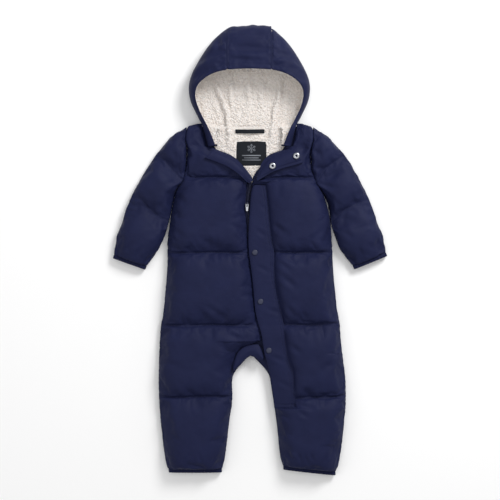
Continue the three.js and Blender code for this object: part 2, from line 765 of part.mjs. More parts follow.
// A turned piece of hardware standing on the cloth.
const TURNED_SIDES = 16;
function addTurned(name, material, profile, x, y, z) {
  const geometry = new THREE.LatheGeometry(profile.map(([r, h]) => new THREE.Vector2(r, h)), TURNED_SIDES);
  geometry.rotateX(Math.PI / 2);
  const mesh = new THREE.Mesh(geometry, material);
  mesh.name = name;
  mesh.position.set(x, y, z);
  suit.add(mesh);
}
const capProfile = [
  [0, 0],
  [CAP.radius, 0],
  [CAP.radius, CAP.rim],
  [CAP.radius * 0.8, CAP.height],
  [0, CAP.height],
];
for (const { name, x, y } of CAPS) {
  const around = [-1, 0, 1].map((side) => flapHeights(x + side * CAP.radius, y)[0]);
  addTurned(name, plastic(), capProfile, x, y, Math.max(...around) + GAP);
}
const socketProfile = [
  [SOCKET.bore, 0],
  [SOCKET.radius, 0],
  [SOCKET.radius, SOCKET.height * 0.5],
  [SOCKET.radius * 0.75, SOCKET.height],
  [SOCKET.bore, SOCKET.height * 0.8],
  [SOCKET.bore, 0],
];
const SOCKETS = table("name x y", ["snap_socket_1", 43.7, 157], ["snap_socket_2", 88.4, 175.8]);
for (const { name, x, y } of SOCKETS) {
  addTurned(name, steel(), socketProfile, x, y, overLeft(x, y) + SOCKET.above);
}

// The zip: its tape and coil between the two fronts, a slider on the coil, and a pull tab on the slider.
function addZip() {
  const stops = [127, 119, 103, 92, 83, 72, 60, 35, 16, -3, -29, -66, -96, -115, -134, -146, -158, -170];
  const shape = [-1, -0.5, -0.4, 0.4, 0.5, 1];
  const cells = stops.map((y) => {
    const x = read(ZIP, "y", y, "x");
    return shape.map((t) => {
      const top = Math.abs(t) < 0.45 ? ZIP_TAPE.crest : ZIP_TAPE.high;
      return [[x + t * ZIP_TAPE.half, y, top], [x + t * ZIP_TAPE.half, y, ZIP_TAPE.low]];
    });
  });
  addWall("zip_tape", cloth(), cells);
}
addZip();

// A three.js shape through a list of points.
const outline = (points) => new THREE.Shape(points.map(([x, y]) => new THREE.Vector2(x, y)));

// Turns a closed geometry into a solid that can be joined to another.
function solidOf(geometry) {
  const plain = geometry.clone();
  plain.deleteAttribute("normal");
  plain.deleteAttribute("uv");
  const merged = mergeVertices(plain, 1e-4);
  const vertProperties = merged.attributes.position.array;
  return new wasm.Manifold(new wasm.Mesh({ numProp: 3, vertProperties, triVerts: merged.index.array }));
}

// The slider: a tapered plate on the coil, with an arch along it that holds the pull tab.
const ARCH = { width: 1.2, reach: 2.7, post: 1, inside: 1, top: 1.9, sunk: 0.4, ahead: 1.6 };
const PLATE_TOP = ZIP_TAPE.crest + GAP + SLIDER.height;
const PIN_Y = SLIDER.y + ARCH.ahead;
const PIN_Z = PLATE_TOP + 1;
function addSlider() {
  const [half, length] = [SLIDER.width / 2, SLIDER.length / 2];
  const plate = new THREE.ExtrudeGeometry(
    outline([
      [-half, length * 0.55],
      [-half * 0.55, length],
      [half * 0.55, length],
      [half, length * 0.55],
      [half * 0.78, -length],
      [-half * 0.78, -length],
    ].reverse()),
    { depth: SLIDER.height, bevelEnabled: false },
  );
  plate.translate(SLIDER.x, SLIDER.y, ZIP_TAPE.crest + GAP);
  const side = outline([
    [-ARCH.reach, -1 - ARCH.sunk],
    [-ARCH.reach + ARCH.post, -1 - ARCH.sunk],
    [-ARCH.reach + ARCH.post, ARCH.inside],
    [ARCH.reach - ARCH.post, ARCH.inside],
    [ARCH.reach - ARCH.post, -1 - ARCH.sunk],
    [ARCH.reach, -1 - ARCH.sunk],
    [ARCH.reach, ARCH.top * 0.8],
    [ARCH.reach - 0.6, ARCH.top],
    [-ARCH.reach + 0.6, ARCH.top],
    [-ARCH.reach, ARCH.top * 0.8],
  ]);
  const arch = new THREE.ExtrudeGeometry(side, { depth: ARCH.width, bevelEnabled: false });
  arch.rotateX(Math.PI / 2);
  arch.rotateZ(Math.PI / 2);
  arch.translate(SLIDER.x - ARCH.width / 2, PIN_Y, PIN_Z);
  const joined = solidOf(plate).add(solidOf(arch)).getMesh();
  const geometry = new THREE.BufferGeometry();
  geometry.setAttribute("position", new THREE.BufferAttribute(joined.vertProperties, joined.numProp));
  geometry.setIndex(new THREE.BufferAttribute(joined.triVerts, 1));
  geometry.computeVertexNormals();
  const mesh = new THREE.Mesh(geometry, steel());
  mesh.name = "zip_slider";
  suit.add(mesh);
}

// The pull tab hangs on the arch by a window in its head, and lies towards the feet.
function addPull() {
  const [half, thick] = [PULL.width / 2, PULL.thick];
  const tab = outline([
    [-half, thick / 2],
    [-half * 0.72, 1 - PULL.length],
    [-half * 0.4, -PULL.length],
    [half * 0.4, -PULL.length],
    [half * 0.72, 1 - PULL.length],
    [half, thick / 2],
  ]);
  const eye = [
    [-PULL.eye, -thick / 2],
    [PULL.eye, -thick / 2],
    [PULL.eye, -4.2],
    [-PULL.eye, -4.2],
  ];
  tab.holes.push(new THREE.Path(eye.map(([x, y]) => new THREE.Vector2(x, y))));
  const mesh = new THREE.Mesh(new THREE.ExtrudeGeometry(tab, { depth: thick, bevelEnabled: false }), steel());
  mesh.name = "zip_pull";
  mesh.position.set(SLIDER.x, PIN_Y, PIN_Z - thick / 2);
  suit.add(mesh);
}
addSlider();
addPull();

suit.position.set(-MIDDLE.x, -MIDDLE.y, 0);

export default suit;
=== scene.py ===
# %% [markdown]
# # A baby's padded snowsuit, laid flat
# The suit lies on its back with its front up, as in a shop's flat-lay picture. The imported model
# gives the solid form of each sewn piece. This lesson dresses those pieces: padded shells with
# sewn channels, a curly pile lining, a storm flap with snaps, a zip, elastic bindings and stitches.
# The imported model is loaded first. Nothing here may outgrow it.

# %% Load the imported frame
import json
import math
import bmesh
import bpy
import numpy as np
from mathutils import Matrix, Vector
from mathutils.bvhtree import BVHTree

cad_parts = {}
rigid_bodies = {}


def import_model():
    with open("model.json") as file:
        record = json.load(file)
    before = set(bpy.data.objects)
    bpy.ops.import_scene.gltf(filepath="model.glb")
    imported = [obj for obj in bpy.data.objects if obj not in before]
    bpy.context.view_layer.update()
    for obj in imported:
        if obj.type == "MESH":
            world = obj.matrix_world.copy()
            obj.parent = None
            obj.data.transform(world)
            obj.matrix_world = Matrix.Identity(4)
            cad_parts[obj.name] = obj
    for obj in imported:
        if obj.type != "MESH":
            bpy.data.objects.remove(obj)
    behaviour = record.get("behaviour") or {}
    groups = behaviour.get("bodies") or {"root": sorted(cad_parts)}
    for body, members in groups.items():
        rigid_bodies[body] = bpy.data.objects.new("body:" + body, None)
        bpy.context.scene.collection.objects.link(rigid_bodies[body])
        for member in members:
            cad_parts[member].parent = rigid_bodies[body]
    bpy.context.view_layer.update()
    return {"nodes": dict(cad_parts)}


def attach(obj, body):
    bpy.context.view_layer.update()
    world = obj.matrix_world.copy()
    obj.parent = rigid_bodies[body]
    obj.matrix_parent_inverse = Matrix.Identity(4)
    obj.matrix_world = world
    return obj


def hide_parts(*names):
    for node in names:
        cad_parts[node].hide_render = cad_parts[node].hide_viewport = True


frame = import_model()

# %% [markdown]
# ## Sizes
# The tables below are in millimetres from a point in the middle of the front, x to the wearer's left
# and y towards the hood. `place` turns them into metres in the frame, whose origin is under the
# middle of the suit's outline, so MIDDLE is where that origin lies in the tables.

# %% Units and place
MM = 0.001
MIDDLE = (1.15, -1.06)
SUIT = "suit"
PULL = "zip_pull"


def place(x, y, z=0.0):
    return Vector(((x - MIDDLE[0]) * MM, (y - MIDDLE[1]) * MM, z * MM))


def plan(points):
    """A list of (x, y) in millimetres as an array in metres."""
    return (np.array(points, float) - np.array(MIDDLE)) * MM


# %% [markdown]
# ## Camera and light
# The picture looks straight down. A long lens keeps the hood, which stands highest, from growing
# towards the viewer. 950 mm fills the picture's width at the height of the fronts, so the lens and
# the chip size give the height of the camera.

# %% Camera
VIEW_WIDTH = 950 * MM
VIEW_PLANE = 12 * MM
LENS, CHIP = 100.0, 36.0
camera_data = bpy.data.cameras.new("camera")
camera_data.lens = LENS
camera_data.sensor_width = CHIP
camera = bpy.data.objects.new("camera", camera_data)
camera.location = (0.0, 0.0, VIEW_WIDTH * LENS / CHIP + VIEW_PLANE)
bpy.context.scene.collection.objects.link(camera)
bpy.context.scene.camera = camera
bpy.context.scene.view_settings.view_transform = "Standard"
print("camera height in metres:", round(camera.location.z, 3))

# %% [markdown]
# The light is a broad soft panel from the upper right, with fill from the other side, so the
# channels of padding cast short soft shadows to the lower left.


# %% Lights
def soft_light(name, where, size, power):
    data = bpy.data.lights.new(name, "AREA")
    data.shape = "DISK"
    data.size = size
    data.energy = power
    lamp = bpy.data.objects.new(name, data)
    lamp.location = where
    lamp.rotation_euler = (-Vector(where)).to_track_quat("-Z", "Y").to_euler()
    bpy.context.scene.collection.objects.link(lamp)


WHITE = (1.0, 1.0, 1.0, 1.0)
ROOM_LIGHT = 0.5
soft_light("key", where=(1.15, 1.5, 1.45), size=0.9, power=40)
soft_light("fill", where=(-1.7, -0.5, 1.8), size=1.8, power=8)
soft_light("top", where=(0.1, 0.2, 2.4), size=1.6, power=8)
world = bpy.data.worlds.new("studio")
bpy.context.scene.world = world
world.use_nodes = True
world.node_tree.nodes["Background"].inputs["Color"].default_value = WHITE
world.node_tree.nodes["Background"].inputs["Strength"].default_value = ROOM_LIGHT

# %% [markdown]
# ## Materials
# Every finish is named for what it really is. One function turns the hex colours, which are judged
# from the photo, into the linear values that shaders use. Another adds a node with its settings
# and links, so each material reads as a short recipe.


# %% Node helpers
def linear(code):
    """An sRGB hex colour such as "262a43" as linear RGBA."""
    parts = [int(code[i:i + 2], 16) / 255 for i in (0, 2, 4)]
    return tuple(p / 12.92 if p <= 0.04045 else ((p + 0.055) / 1.055) ** 2.4 for p in parts) + (1.0,)


def add(tree, kind, settings=None, **links):
    """Adds a node. A setting is an attribute or, where its name is an input's, that input's value.
    A link's key is the input's name, or n and its number where inputs share a name."""
    node = tree.nodes.new(kind)
    for name, value in (settings or {}).items():
        if hasattr(node, name):
            setattr(node, name, value)
        else:
            node.inputs[name].default_value = value
    for name, socket in links.items():
        key = int(name[1:]) if name[0] == "n" and name[1:].isdigit() else name.replace("_", " ")
        tree.links.new(socket, node.inputs[key])
    return node


def new_material(name, roughness, **shader):
    made = bpy.data.materials.new(name)
    made.use_nodes = True
    tree = made.node_tree
    main = tree.nodes["Principled BSDF"]
    main.inputs["Roughness"].default_value = roughness
    for key, value in shader.items():
        main.inputs[key.replace("_", " ")].default_value = value
    return made, tree, main


def between_colours(tree, factor, low, high):
    mix = add(tree, "ShaderNodeMix", {"data_type": "RGBA"})
    tree.links.new(factor, mix.inputs["Factor"])
    mix.inputs[6].default_value = linear(low)
    mix.inputs[7].default_value = linear(high)
    return mix.outputs[2]


# %% [markdown]
# The shell is a down-proof polyester taffeta: a tight plain weave, dyed navy, calendered so it has
# a faint sheen on the crowns. Threads are 0.25 mm apart, far too fine to show, so the weave is
# drawn at 1.1 mm. A soft crumple in waves of 9 mm breaks up the light as thin cloth over wadding
# does, and patches of 38 mm vary the dye a little.

# %% Shell cloth, bindings and tape
THREAD_SHOWN = 1.1
CRUMPLE = 9.0
DYE_PATCH = 38.0
SHEEN_TINT = "8d93b8"
WAVES_PER_TURN = 20


def woven(name, dark, light, roughness=0.62, thread=THREAD_SHOWN, crumple_depth=0.35):
    made, tree, main = new_material(name, roughness, Sheen_Weight=0.05, Sheen_Roughness=0.4)
    main.inputs["Sheen Tint"].default_value = linear(SHEEN_TINT)
    main.inputs["Specular IOR Level"].default_value = 0.12
    where = add(tree, "ShaderNodeTexCoord").outputs["Object"]
    patch = add(tree, "ShaderNodeTexNoise", {"Scale": 1 / (DYE_PATCH * MM), "Detail": 3.0}, Vector=where)
    tree.links.new(between_colours(tree, patch.outputs["Fac"], dark, light), main.inputs["Base Color"])
    turns = {"Scale": 2 * math.pi / (thread * MM) / WAVES_PER_TURN, "Distortion": 0.6}
    warp = add(tree, "ShaderNodeTexWave", {"bands_direction": "X", **turns}, Vector=where)
    weft = add(tree, "ShaderNodeTexWave", {"bands_direction": "Y", **turns}, Vector=where)
    weave = add(tree, "ShaderNodeMath", {"operation": "MULTIPLY"},
                n0=warp.outputs["Fac"], n1=weft.outputs["Fac"])
    soft = add(tree, "ShaderNodeTexNoise", {"Scale": 1 / (CRUMPLE * MM), "Detail": 4.0}, Vector=where)
    fine = add(tree, "ShaderNodeBump", {"Strength": 0.25, "Distance": 0.12 * MM}, Height=weave.outputs[0])
    wide = add(tree, "ShaderNodeBump", {"Strength": crumple_depth, "Distance": 1.5 * MM},
               Height=soft.outputs["Fac"], Normal=fine.outputs["Normal"])
    tree.links.new(wide.outputs["Normal"], main.inputs["Normal"])
    return made


SHELL = woven("polyester_taffeta_navy", "151936", "1d2243")
BINDING = woven("elastic_binding_navy", "111533", "181d3c", roughness=0.7, thread=1.6)
TAPE = woven("zip_tape_navy", "12152a", "191c33", roughness=0.7, thread=1.4)
RIBBON = woven("woven_ribbon_black", "15181d", "1c1f26", roughness=0.6, thread=1.2, crumple_depth=0.1)

# %% [markdown]
# The lining is sherpa: a knitted pile of short curled fibres that clump into soft grains 3 to 5 mm
# wide. Light scatters inside it, so the clumps are modelled as geometry further down. The material
# only adds the fine fibre and a painted shade, warmer and darker, in the hollows between the grains.


# %% Sherpa pile
CLUMP = 4.2
FIBRE = 1.4


def sherpa(name, hollow_shade, crown):
    made, tree, main = new_material(name, 0.95, Sheen_Weight=0.5, Sheen_Roughness=0.8)
    main.inputs["Subsurface Weight"].default_value = 0.35
    main.inputs["Subsurface Radius"].default_value = (0.004, 0.0035, 0.003)
    where = add(tree, "ShaderNodeTexCoord").outputs["Object"]
    grain = add(tree, "ShaderNodeTexVoronoi", {"Scale": 1 / (CLUMP * MM), "Randomness": 1.0}, Vector=where)
    fibre = add(tree, "ShaderNodeTexNoise", {"Scale": 1 / (FIBRE * MM), "Detail": 5.0}, Vector=where)
    shade = add(tree, "ShaderNodeMath", {"operation": "MULTIPLY"},
                n0=grain.outputs["Distance"], n1=fibre.outputs["Fac"])
    # The mix darkens and warms each grain towards its edge: a painted shade for the hollows between grains.
    tree.links.new(between_colours(tree, shade.outputs[0], crown, hollow_shade), main.inputs["Base Color"])
    curl = add(tree, "ShaderNodeBump", {"Strength": 0.5, "Distance": 0.9 * MM}, Height=fibre.outputs["Fac"])
    tree.links.new(curl.outputs["Normal"], main.inputs["Normal"])
    return made


# The first colour is the painted shade of the hollows between grains. The second is the pile's own cream.
PILE = sherpa("sherpa_pile_cream", "b8aca2", "e8e2dd")

# %% [markdown]
# Hardware: the snap caps are moulded acetal in the cloth's colour, and the sockets and pull are
# brass with nickel plate, so they are a bright metal with fine wear. The slider is zinc with a
# darker gunmetal plate. Thread is spun polyester.


# %% Hardware and thread
def moulded(name, dark, light, roughness=0.5):
    made, tree, main = new_material(name, roughness)
    where = add(tree, "ShaderNodeTexCoord").outputs["Object"]
    mottle = add(tree, "ShaderNodeTexNoise", {"Scale": 1 / (3 * MM), "Detail": 2.0}, Vector=where)
    tree.links.new(between_colours(tree, mottle.outputs["Fac"], dark, light), main.inputs["Base Color"])
    skin = add(tree, "ShaderNodeBump", {"Strength": 0.15, "Distance": 0.1 * MM},
               Height=mottle.outputs["Fac"])
    tree.links.new(skin.outputs["Normal"], main.inputs["Normal"])
    return made


def plated(name, dull, bright, roughness=0.28):
    made, tree, main = new_material(name, roughness, Metallic=1.0)
    where = add(tree, "ShaderNodeTexCoord").outputs["Object"]
    wear = add(tree, "ShaderNodeTexNoise", {"Scale": 1 / (1.5 * MM), "Detail": 4.0}, Vector=where)
    tree.links.new(between_colours(tree, wear.outputs["Fac"], dull, bright), main.inputs["Base Color"])
    scuff = add(tree, "ShaderNodeBump", {"Strength": 0.2, "Distance": 0.05 * MM},
                Height=wear.outputs["Fac"])
    tree.links.new(scuff.outputs["Normal"], main.inputs["Normal"])
    return made


CAP = moulded("acetal_cap_navy", "20243c", "282c46")
NICKEL = plated("nickel_plated_brass", "8e9095", "b9bbc0")
SLIDER_FINISH = plated("gunmetal_plated_zinc", "33353d", "4a4c56", roughness=0.4)
COIL = moulded("nylon_coil_navy", "1a1d31", "23263c")
THREAD = woven("spun_thread_navy", "20243c", "2a2f4c", roughness=0.6, thread=0.6, crumple_depth=0.1)
LABEL_PRINT = woven("label_thread_grey", "6c7078", "8d9199", roughness=0.7, thread=0.8, crumple_depth=0.1)
print("materials:", len(bpy.data.materials))

# %% [markdown]
# ## How a sewn piece is made finer
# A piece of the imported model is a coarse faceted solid. Its copy is merged and subdivided, with its
# sharp edges held as creases so that it still meets its neighbours at each seam. Long faces are
# then halved until the grid is fine enough to blow up and press point by point. The copy replaces
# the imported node, which stays as the collision form.


# %% Copying and refining a node
SEAM_ANGLE = math.radians(48)


def node_copy(name):
    mesh = bmesh.new()
    mesh.from_mesh(frame["nodes"][name].data)
    bmesh.ops.remove_doubles(mesh, verts=mesh.verts, dist=1e-5)
    bmesh.ops.join_triangles(mesh, faces=mesh.faces, angle_face_threshold=0.9, angle_shape_threshold=1.2)
    held = mesh.edges.layers.float.new("crease_edge")
    for edge in mesh.edges:
        edge[held] = 0.9 if edge.calc_face_angle(0.0) > SEAM_ANGLE else 0.0
    data = bpy.data.meshes.new(name + "_cloth")
    mesh.to_mesh(data)
    mesh.free()
    piece = bpy.data.objects.new(name + "_cloth", data)
    bpy.context.scene.collection.objects.link(piece)
    return piece


def bake_modifiers(piece):
    """Replaces the piece's mesh by what its modifiers make of it, and removes them."""
    seen = piece.evaluated_get(bpy.context.evaluated_depsgraph_get())
    data = bpy.data.meshes.new_from_object(seen)
    piece.modifiers.clear()
    piece.data = data
    return piece


def refine(name, levels=2, longest=None):
    """Subdivides a node's copy, then halves its edges until none is longer than this many mm."""
    piece = node_copy(name)
    smoother = piece.modifiers.new("smooth_form", "SUBSURF")
    smoother.levels = smoother.render_levels = levels
    bake_modifiers(piece)
    mesh = bmesh.new()
    mesh.from_mesh(piece.data)
    while longest:
        long_edges = [e for e in mesh.edges if e.calc_length() > longest * MM]
        if not long_edges:
            break
        bmesh.ops.subdivide_edges(mesh, edges=long_edges, cuts=1, use_grid_fill=True)
    mesh.to_mesh(piece.data)
    mesh.free()
    return piece


def points_of(piece):
    count = len(piece.data.vertices)
    co, normal = np.empty(count * 3), np.empty(count * 3)
    piece.data.vertices.foreach_get("co", co)
    piece.data.vertices.foreach_get("normal", normal)
    return co.reshape(-1, 3), normal.reshape(-1, 3)


def set_points(piece, co):
    piece.data.vertices.foreach_set("co", np.ascontiguousarray(co, dtype=np.float32).ravel())
    piece.data.update()


def finish_piece(piece, material, slot, *nodes, body=SUIT):
    piece.data.materials.clear()
    piece.data.materials.append(material)
    for face in piece.data.polygons:
        face.use_smooth = True
    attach(piece, body)
    if nodes:
        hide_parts(*nodes)
    return piece


def widen(piece, by):
    """Moves the points that face sideways out by this many millimetres, to meet a neighbour."""
    co, normal = points_of(piece)
    flat = normal.copy()
    flat[:, 2] = 0.0
    share = np.clip(1.0 - np.abs(normal[:, 2]) / 0.8, 0, 1) ** 0.5
    set_points(piece, co + flat * (share * by * MM)[:, None])
    return piece

# %% [markdown]
# ## Puffing and creasing
# Padded cloth swells between its sewn lines and gathers into small puckers where the thread pulls
# it in. Three things are laid over a refined piece, all along its surface normals: a narrow groove
# on each sewn line with puckers across it, creases listed from the photo, and a gentle
# lumpiness from the wadding. Noise comes from one fixed table, so each run gives the same cloth.
# The relief functions take points in metres and the sizes of folds in millimetres.

# %% Smooth noise
LATTICE = np.random.default_rng(7).random((64, 64))


def noise(x, y, wave, shift=0.0):
    """Smooth values from -1 to 1 that change over a wave of this length, in metres."""
    u, v = x / wave + 17.3 + shift, y / wave + 41.7 - shift
    i, j = np.floor(u).astype(int), np.floor(v).astype(int)
    fu, fv = u - i, v - j
    fu, fv = fu * fu * (3 - 2 * fu), fv * fv * (3 - 2 * fv)
    i0, i1, j0, j1 = i % 64, (i + 1) % 64, j % 64, (j + 1) % 64
    low = LATTICE[i0, j0] * (1 - fu) + LATTICE[i1, j0] * fu
    high = LATTICE[i0, j1] * (1 - fu) + LATTICE[i1, j1] * fu
    return 2 * (low * (1 - fv) + high * fv) - 1


# %% Distance to a sewn line
def to_line(co, line):
    """How far each point is from a line of (x, y) in metres, and how far along the line it is."""
    best = np.full(len(co), 1e9)
    along = np.zeros(len(co))
    run = 0.0
    for a, b in zip(line[:-1], line[1:]):
        step = b - a
        length = np.hypot(*step)
        t = np.clip(((co[:, :2] - a) @ step) / length ** 2, 0, 1)
        gap = np.hypot(co[:, 0] - a[0] - t * step[0], co[:, 1] - a[1] - t * step[1])
        closer = gap < best
        best = np.where(closer, gap, best)
        along = np.where(closer, run + t * length, along)
        run += length
    return best, along


# %% [markdown]
# A crease has a lower bank at each side, because the cloth that rises in it is drawn from there.
# BESIDE_SHARE is the bank's depth against the crease, and BESIDE_AT its distance in widths.

# %% Relief of sewn lines, creases and lumps
BESIDE_SHARE = 0.45
BESIDE_AT = 1.9


def facing_up(normal, floor=0.15):
    return np.clip((normal[:, 2] - floor) / (1 - floor), 0, 1) ** 0.6


def puckered(co, line, groove=1.5, width=2.2, pucker=1.0, reach=16.0, pitch=9.0, seed=0.0):
    gap, along = to_line(co, line)
    fold = noise(along, np.full(len(co), seed * MM), pitch * MM, seed)
    fold += 0.6 * noise(along, gap, pitch * 0.45 * MM, seed + 3)
    spread = np.exp(-gap / (reach * MM)) * (1 - np.exp(-((gap / (width * MM)) ** 2)))
    return MM * (pucker * fold * spread - groove * np.exp(-((gap / (width * MM)) ** 2)))


def creased(co, creases):
    """Soft folds: each has its two ends, its depth, less than 0 for a trough, and its width."""
    height = np.zeros(len(co))
    for x0, y0, x1, y1, depth, width in creases:
        line = plan([(x0, y0), (x1, y1)])
        gap, along = to_line(co, line)
        length = np.hypot(*(line[1] - line[0]))
        taper = np.sin(np.pi * np.clip(along / length, 0.04, 0.96)) ** 0.7
        across = gap / (width * MM)
        shape = np.exp(-(across ** 2)) - BESIDE_SHARE * np.exp(-((across - BESIDE_AT) ** 2))
        height += depth * MM * taper * shape
    return height


def lumps(co):
    x, y = co[:, 0], co[:, 1]
    wide = 1.1 * noise(x, y, 46 * MM) + 0.7 * noise(x, y, 21 * MM, 5) + 0.35 * noise(x, y, 10 * MM, 9)
    return wide * MM


def press(piece, height):
    """Moves the points that face up along their normals. What rests on the floor stays flat."""
    co, normal = points_of(piece)
    set_points(piece, co + normal * (height(co) * facing_up(normal))[:, None])
    return piece


# %% [markdown]
# ## Sewn lines and creases of the suit
# Each front is sewn through at the yoke, waist, hip and knee, and the sleeves twice. The lines are
# listed as a cutter would mark them, with the slight waves that the photo shows. Creases are those
# that the photo shows most clearly: diagonal pulls beside the flap, folds at the hip and gathers
# above the elastic.

# %% Sewn lines
SEWN = {
    "front_right": [
        [(-102, 135), (-70, 137), (-40, 136), (-17, 135)],
        [(-156, -6), (-120, -8), (-70, -5), (-30, -7), (4, -6)],
        [(-170, -143), (-120, -146), (-70, -142), (-20, -145), (10, -144)],
        [(-173, -279), (-120, -280), (-80, -277), (-34, -279)],
    ],
    "front_left": [
        [(40, 134), (70, 137), (100, 135), (122, 136)],
        [(46, -4), (90, -7), (130, -5), (158, -7)],
        [(68, -141), (110, -143), (150, -139), (174, -141)],
        [(90, -283), (120, -280), (150, -281), (184, -275)],
    ],
    "sleeve_right": [
        [(-175, 177), (-160, 168), (-145, 149), (-124, 130)],
        [(-226, 98), (-208, 97), (-189, 77), (-170, 61), (-152, 54)],
    ],
    "sleeve_left": [
        [(177, 177), (162, 166), (144, 153), (126, 127)],
        [(229, 95), (207, 88), (181, 76), (155, 52)],
    ],
}
CREASES = {
    "front_right": [
        (-83, -105, -46, -130, -1.6, 5), (-52, -157, 0, -172, -2.2, 6), (-20, 118, -30, 60, -1.0, 5),
        (-8, 110, -24, 86, -1.2, 4), (-150, 40, -128, 24, -1.2, 5), (-140, 108, -120, 84, -1.3, 5),
        (-30, -200, -62, -176, -1.4, 6), (-40, -238, -70, -226, -1.2, 5), (-120, -400, -112, -384, -1.2, 3),
        (-90, -402, -94, -386, -1.2, 3), (-70, -402, -64, -390, -1.2, 3), (-140, -402, -146, -390, -1.2, 3),
        (-104, -402, -102, -390, -1.0, 3), (-96, 215, -104, 160, -1.4, 7), (-60, 160, -42, 142, -1.0, 5),
        (-163, -210, -130, -222, -1.0, 6), (-100, 20, -60, 8, -0.8, 6), (-30, 30, -12, 6, -1.2, 5),
    ],
    "front_left": [
        (45, 48, 70, 28, -1.8, 5), (54, -24, 80, -40, -1.8, 5), (58, -48, 90, -74, -1.8, 5),
        (69, -105, 88, -132, -1.6, 5), (60, -10, 86, -26, -1.0, 4), (96, -262, 118, -272, -1.0, 5),
        (92, -292, 118, -299, -2.0, 4), (94, -306, 112, -318, -1.2, 4), (140, 40, 118, 16, -1.2, 5),
        (120, -400, 116, -384, -1.2, 3), (96, -398, 92, -384, -1.2, 3), (140, -404, 146, -388, -1.2, 3),
        (80, -396, 74, -384, -1.2, 3), (108, -400, 106, -388, -1.0, 3), (104, 215, 98, 160, -1.6, 7),
        (60, 128, 52, 100, -1.0, 5), (170, -210, 138, -224, -1.0, 6), (76, -180, 98, -196, -1.4, 5),
    ],
    "sleeve_right": [
        (-230, 88, -212, 80, -2.0, 4), (-168, 150, -150, 128, -1.2, 6), (-196, 20, -178, 34, -1.2, 5),
        (-232, -2, -222, 14, -1.4, 4), (-212, -12, -204, 4, -1.4, 4), (-244, 2, -240, 18, -1.2, 4),
        (-148, 190, -138, 170, -1.2, 6), (-170, 76, -160, 92, -1.2, 5),
    ],
    "sleeve_left": [
        (192, 92, 214, 84, -1.6, 5), (166, 152, 150, 130, -1.2, 6), (196, 20, 178, 34, -1.2, 5),
        (234, -2, 224, 14, -1.4, 4), (212, -12, 206, 4, -1.4, 4), (246, 4, 242, 20, -1.2, 4),
        (150, 190, 138, 170, -1.2, 6), (172, 76, 162, 92, -1.2, 5), (232, 66, 214, 70, -1.2, 5),
    ],
}
GATHERED = {
    "front_right": [[(-154, -415), (-53, -415)]],
    "front_left": [[(64, -410), (164, -421)]],
    "sleeve_right": [[(-256, -9), (-196, -30.6)]],
    "sleeve_left": [[(258.5, -5), (197, -30)]],
}
print("creases placed by hand:", sum(len(c) for c in CREASES.values()))


# %% [markdown]
# ## Blowing up the padding
# The fronts and sleeves are blown up as cloth. Their undersides, seams and sewn lines are pinned,
# the cloth between is cut a little larger than the form under it, and air pressure fills it. The
# spare cloth buckles into puckers beside the thread, as it does on the real suit. The movement is
# capped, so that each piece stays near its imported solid. Where a sleeve is sewn in, the seam rides
# up on the padding of both pieces and the shoulder end of the gap is filled.

# %% Sewn-in sleeves
ARMHOLES = [
    [(-117, 229), (-118.8, 222), (-121, 212), (-118, 189), (-119.5, 160), (-125, 132), (-139, 112)],
    [(118, 228), (121.4, 216), (116, 180), (118, 155), (127, 126), (142, 103)],
]
SEAM_LIFT = 6.0
LIFT_REACH = 8.0
SHOULDER_FILL = 2.2


def lift_armholes(piece):
    """The sleeve's seam rides up on the padding of both pieces, so it isn't as deep as a side seam."""
    co, _ = points_of(piece)
    above = np.clip((co[:, 2] / MM - 7.5) / 3, 0, 1)
    for line in ARMHOLES:
        gap = to_line(co, plan(line))[0] / (LIFT_REACH * MM)
        co[:, 2] += SEAM_LIFT * MM * above * np.exp(-(gap ** 2))
        from_shoulder = np.linalg.norm(co[:, :2] - plan(line)[0], axis=1) / (LIFT_REACH * MM)
        co[:, 1] += SHOULDER_FILL * MM * np.exp(-(from_shoulder ** 2))
    set_points(piece, co)


# %% [markdown]
# The air runs for 18 frames, with no gravity, and each point keeps its last place up to the cap.

# %% Cloth under pressure
FRAMES = 18
SPARE_CLOTH = 0.045
PINNED_BESIDE = 2.4
PRESSURE = 3.0
MOST_MOVE = 4.5


def pin_seams(piece, lines):
    co, normal = points_of(piece)
    pinned = normal[:, 2] < 0.05
    for line in lines:
        pinned |= to_line(co, line)[0] < PINNED_BESIDE * MM
    group = piece.vertex_groups.new(name="sewn")
    group.add(np.nonzero(pinned)[0].tolist(), 1.0, "REPLACE")
    return int(pinned.sum())


def blow_up(pieces):
    for piece in pieces:
        cloth = piece.modifiers.new("air", "CLOTH")
        settings = cloth.settings
        settings.quality = 5
        settings.mass = 0.3
        settings.tension_stiffness = settings.compression_stiffness = 12
        settings.bending_stiffness = 0.6
        settings.vertex_group_mass = "sewn"
        settings.shrink_min = settings.shrink_max = -SPARE_CLOTH
        settings.use_pressure = True
        settings.uniform_pressure_force = PRESSURE
        settings.effector_weights.gravity = 0.0
        cloth.collision_settings.use_collision = False
    scene = bpy.context.scene
    for frame_number in range(1, FRAMES + 1):
        scene.frame_set(frame_number)
    for piece in pieces:
        start = points_of(piece)[0]
        seen = piece.evaluated_get(bpy.context.evaluated_depsgraph_get())
        blown = np.empty(len(seen.data.vertices) * 3)
        seen.data.vertices.foreach_get("co", blown)
        move = blown.reshape(-1, 3) - start
        length = np.linalg.norm(move, axis=1)
        cap = MOST_MOVE * MM * np.tanh(length / (MOST_MOVE * MM))
        piece.modifiers.clear()
        piece.vertex_groups.clear()
        set_points(piece, start + move * (cap / np.maximum(length, 1e-9))[:, None])
        blown_by, kept = round(length.max() / MM, 2), round(cap.max() / MM, 2)
        print(piece.name, "moved at most", blown_by, "mm, kept", kept, "mm")
    scene.frame_set(1)


# %% [markdown]
# After the air, the grid is made finer and the puckers, creases and lumps are pressed in.

# %% Padded fronts and sleeves
CLOTH_GRID = 5.5
FINE_GRID = 3.0


def finer(piece):
    piece.modifiers.new("fine_grid", "SUBSURF").levels = 1
    return bake_modifiers(piece)


ELASTIC = {"groove": 0.0, "width": 1.0, "pucker": 1.5, "reach": 13, "pitch": 7.5, "seed": 5.0}


